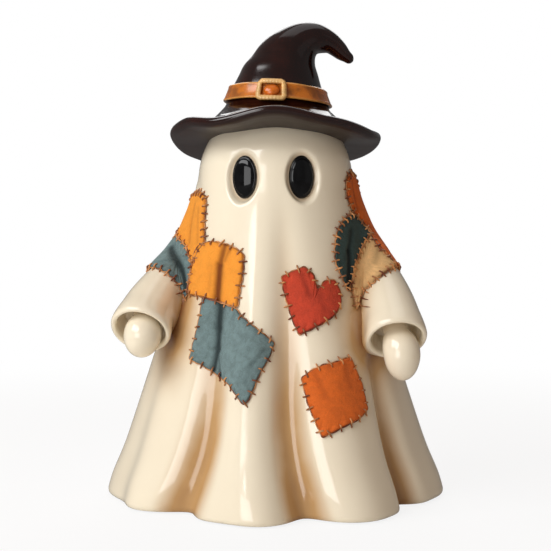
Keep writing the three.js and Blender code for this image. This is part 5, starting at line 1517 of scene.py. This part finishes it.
def build_edge_thread(name, patch, edge, settings, crease_width, thread):
    """The long thread of the blanket stitch: a tube along the foot of the edge, drawn in at each stitch by
    a cosine of the place between two stitches."""
    line, inward, ticks = edge
    count = len(line)
    around_once = np.concatenate([[ticks[-1] - count], ticks, [ticks[0] + count]])
    beats = np.interp(np.arange(count), around_once, np.arange(-1, len(ticks) + 1))
    pull = np.cos(2 * np.pi * beats)
    base, normal = press(line - inward * (0.15 - 0.22 * pull)[:, None], patch, crease_width)
    beside, _ = press(line - inward * BESIDE, patch, crease_width)
    over = covered(beside, [other for other in PATCHES if other != name])
    height = settings.lift + settings.yarn * (1.1 + 0.3 * pull) + over * settings.thickness * 0.6
    path = base + normal * height[:, None]
    way = unit(closed_slopes(path))
    side = np.cross(way, normal)
    up = np.cross(side, way)
    turn = circle(THREAD_COLUMNS)[:, None, None]
    tube = path + settings.yarn * 0.72 * (np.cos(turn) * side + np.sin(turn) * up)
    piece = closed_piece(f"edge_thread_{name}", tube, thread, ring=True)
    dress(piece, patch["felt"])
    return piece


# CAD nodes that stay as they are, by material slot: the material's name and colour, its roughness, grain, the
# grain's scale and how metallic it is, and the nodes
WORKS = {
    "black_plastic": (
        "Black plastic", (38, 37, 36), (0.5,),
        "base_plate battery_box battery_door switch_body switch_slider",
    ),
    "white_plastic": ("White plastic", (226, 223, 214), (0.42, 0.12), "led_pillar"),
    "frosted_plastic": ("Frosted plastic", (244, 238, 222), (0.6, 0.4, 1400.0), "light_diffuser"),
    "lamp_epoxy": ("Lamp epoxy", (255, 224, 150), (0.12, 0.03), "led_1 led_2 led_3"),
    "board_green": ("Board lacquer", (36, 92, 56), (0.35, 0.1), "led_board"),
    "steel": (
        "Plated steel", (196, 196, 192), (0.28, 0.1, 500.0, 1.0),
        "base_screw_1 base_screw_2 base_screw_3 door_screw contact_spring_1 contact_spring_2 "
        "contact_spring_3 contact_plate_1 contact_plate_2 contact_plate_3",
    ),
    "cell_jacket": ("Cell jacket", (58, 62, 66), (0.3, 0.06), "battery_1 battery_2 battery_3"),
    "rubber_black": (
        "Black rubber", (30, 30, 30), (0.8, 0.4),
        "rubber_foot_1 rubber_foot_2 rubber_foot_3 rubber_foot_4",
    ),
    "wire_red": ("Red insulation", (176, 34, 28), (0.4, 0.05), "red_wire"),
    "wire_black": ("Black insulation", (26, 26, 28), (0.4, 0.05), "black_wire"),
}

# Felts: how mottled, how dark the mottling is, and the fuzz
FELTS = {
    "amber": (0.35, 0.6, 0.6),
    "orange": (0.5, 0.55, 0.6),
    "slate": (0.75, 0.45, 0.9),
    "teal": (0.6, 0.4, 0.6),
    "tan": (0.5, 0.6, 0.6),
    "red": (0.5, 0.5, 0.9),
}


# Operators


class GHOST_OT_robe(bpy.types.Operator):
    """Build the glazed robe with its head, folds and eye sockets"""

    bl_idname = "ghost.robe"
    bl_label = "Robe"

    def execute(self, context):
        build_robe(context.scene.ghost_glaze)
        return {"FINISHED"}


class GHOST_OT_sleeves(bpy.types.Operator):
    """Build both sleeves with their cuffs and hands"""

    bl_idname = "ghost.sleeves"
    bl_label = "Sleeves and hands"

    def execute(self, context):
        settings = context.scene.ghost_glaze
        material = bpy.data.materials.get("Cream glaze") or cream_glaze(settings)
        for side in SLEEVES:
            build_sleeve(side, material, settings)
            build_hand(side, material)
        return {"FINISHED"}


class GHOST_OT_eyes(bpy.types.Operator):
    """Build both eyes"""

    bl_idname = "ghost.eyes"
    bl_label = "Eyes"

    def execute(self, context):
        material = eye_enamel(context.scene.ghost_glaze)
        for side in SLEEVES:
            build_eye(side, material)
        return {"FINISHED"}


class GHOST_OT_hat(bpy.types.Operator):
    """Build the witch hat with its band, buckle and stud"""

    bl_idname = "ghost.hat"
    bl_label = "Hat"

    def execute(self, context):
        settings = context.scene.ghost_glaze
        build_hat(settings)
        build_band(settings)
        build_buckle(settings)
        build_stud()
        return {"FINISHED"}


class GHOST_OT_patches(bpy.types.Operator):
    """Build the felt patches and their stitches"""

    bl_idname = "ghost.patches"
    bl_label = "Felt patches"

    def execute(self, context):
        settings = context.scene.ghost_felt
        width = context.scene.ghost_glaze.crease
        thread = thread_material(settings.thread)
        felts = {}
        for name, looks in FELTS.items():
            felts[f"{name}_felt"] = felt_material(f"{name.title()} felt", getattr(settings, name), *looks)
        for name, patch in PATCHES.items():
            build_patch(name, patch, settings, width, felts[patch["felt"]], thread)
        return {"FINISHED"}


class GHOST_OT_works(bpy.types.Operator):
    """Give the base plate, battery box, switch and light their materials"""

    bl_idname = "ghost.works"
    bl_label = "Base and works"

    def execute(self, context):
        for label, shade, finish, names in WORKS.values():
            material = plain_material(label, linear(*shade), *finish)
            for name in names.split():
                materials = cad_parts[name].data.materials
                materials.clear()
                materials.append(material)
        return {"FINISHED"}


class GHOST_OT_stage(bpy.types.Operator):
    """Set the floor, the lights, the world and the camera"""

    bl_idname = "ghost.stage"
    bl_label = "Stage"

    def execute(self, context):
        settings = context.scene.ghost_stage
        build_floor(settings)
        build_world(settings)
        for name, (place, width, height) in LAMPS.items():
            softbox(f"{name.title()} softbox", place, width, height, getattr(settings, name))
        build_camera(context)
        context.scene.view_settings.view_transform = "Standard"
        return {"FINISHED"}


def aim(thing, target):
    """Turns a light or camera to look at a target."""
    way = np.array(target) - np.array(thing.location)
    level = np.hypot(way[0], way[1])
    thing.rotation_euler = (np.arctan2(level, -way[2]), 0, np.arctan2(-way[0], way[1]))


def softbox(name, place, width, height, watts):
    """A rectangular lamp that shines at the middle of the figure."""
    lamp = bpy.data.lights.new(name, "AREA")
    lamp.shape = "RECTANGLE"
    lamp.size, lamp.size_y, lamp.energy = width, height, watts
    holder = bpy.data.objects.new(name, lamp)
    holder.location = place
    bpy.context.scene.collection.objects.link(holder)
    aim(holder, LAMP_TARGET)


def seen_rays(tree):
    """Two masks of rays: 1 for camera rays, and 1 for camera, glossy and transmission rays."""
    path = node(tree, "ShaderNodeLightPath").outputs
    both = math(tree, "MAXIMUM", path["Is Camera Ray"], path["Is Transmission Ray"])
    return path["Is Camera Ray"], math(tree, "MAXIMUM", both, path["Is Glossy Ray"])


def build_floor(settings):
    """A round floor, nearly white to the camera and still shaded where the figure stands."""
    turn = circle(FLOOR_COLUMNS)
    rings = [np.stack([r * np.cos(turn), r * np.sin(turn), 0 * turn], axis=-1) for r in FLOOR_RINGS]
    index = np.arange(len(FLOOR_RINGS) * FLOOR_COLUMNS).reshape(-1, FLOOR_COLUMNS)
    right = np.roll(index, -1, axis=1)
    quads = np.stack([index[:-1], index[1:], right[1:], right[:-1]], axis=-1).reshape(-1, 4)
    cap = np.stack([np.full(FLOOR_COLUMNS, index.size), index[0], right[0]], axis=-1)
    mesh = build_mesh("floor", np.vstack([*rings, (0, 0, 0)]), [quads, cap])
    material, tree, shader = new_material("Pale floor")
    feed(tree, shader, Base_Color=opaque(settings.floor), Roughness=0.9)
    camera, seen = seen_rays(tree)
    strength = math(tree, "MAXIMUM", camera, WALL_SHINE)
    shine = node(tree, "ShaderNodeEmission", {"Color": WHITE, "Strength": strength}).outputs[0]
    away = node(tree, "ShaderNodeVectorMath", {0: here(tree)}, operation="LENGTH").outputs["Value"]
    far = math(tree, "MULTIPLY", camera, spread(tree, away, *FLOOR_FADE, FLOOR_SHINE, 1.0))
    share = math(tree, "MAXIMUM", far, math(tree, "MULTIPLY", seen, FLOOR_SHINE))
    mixed = node(tree, "ShaderNodeMixShader", {0: share, 1: shader.outputs[0], 2: shine}).outputs[0]
    tree.links.new(mixed, next(n for n in tree.nodes if n.type == "OUTPUT_MATERIAL").inputs["Surface"])
    floor = add_piece("floor", mesh, material)


def build_world(settings):
    """Plain warm light from all round, white to the camera and dimmer in reflections, as a studio's walls
    are."""
    world = bpy.data.worlds.new("Pale room")
    world.use_nodes = True
    tree = world.node_tree
    tree.nodes.clear()
    camera, seen = seen_rays(tree)
    reflected = math(tree, "MULTIPLY", seen, WALL_SHINE)
    strength = math(tree, "MAXIMUM", math(tree, "MAXIMUM", camera, reflected), settings.room)
    tint = blend(tree, seen, opaque(settings.walls), WHITE)
    light = node(tree, "ShaderNodeBackground", {"Color": tint, "Strength": strength})
    node(tree, "ShaderNodeOutputWorld", {"Surface": light.outputs[0]})
    bpy.context.scene.world = world


def build_camera(context):
    """The photograph's view, from in front at mid height and pitched down by about a degree."""
    lens = bpy.data.cameras.new("Photo camera")
    lens.lens = CAMERA_LENS
    lens.sensor_fit = "HORIZONTAL"
    camera = bpy.data.objects.new("Photo camera", lens)
    camera.location = CAMERA_PLACE
    camera.rotation_euler = (radians(90 - CAMERA_PITCH), 0, 0)
    context.scene.collection.objects.link(camera)
    context.scene.camera = camera


class GHOST_PT_panel(bpy.types.Panel):
    bl_label = "Patchwork ghost"
    bl_idname = "GHOST_PT_panel"
    bl_space_type = "VIEW_3D"
    bl_region_type = "UI"
    bl_category = "Ghost"

    def draw(self, context):
        layout = self.layout
        for name in STEPS:
            layout.operator(f"ghost.{name}")
        for group in (context.scene.ghost_glaze, context.scene.ghost_felt, context.scene.ghost_stage):
            for name in group.__annotations__:
                layout.prop(group, name)


STEPS = ("robe", "sleeves", "eyes", "hat", "patches", "works", "stage")
CLASSES = (
    GhostGlaze,
    GhostFelt,
    GhostStage,
    GHOST_OT_robe,
    GHOST_OT_sleeves,
    GHOST_OT_eyes,
    GHOST_OT_hat,
    GHOST_OT_patches,
    GHOST_OT_works,
    GHOST_OT_stage,
    GHOST_PT_panel,
)


def register():
    for made in CLASSES:
        bpy.utils.register_class(made)
    bpy.types.Scene.ghost_glaze = PointerProperty(type=GhostGlaze)
    bpy.types.Scene.ghost_felt = PointerProperty(type=GhostFelt)
    bpy.types.Scene.ghost_stage = PointerProperty(type=GhostStage)


def unregister():
    del bpy.types.Scene.ghost_stage
    del bpy.types.Scene.ghost_felt
    del bpy.types.Scene.ghost_glaze
    for made in reversed(CLASSES):
        bpy.utils.unregister_class(made)


def main():
    """Runs every step."""
    register()
    for name in STEPS:
        getattr(bpy.ops.ghost, name)()


if __name__ == "__main__":
    main()
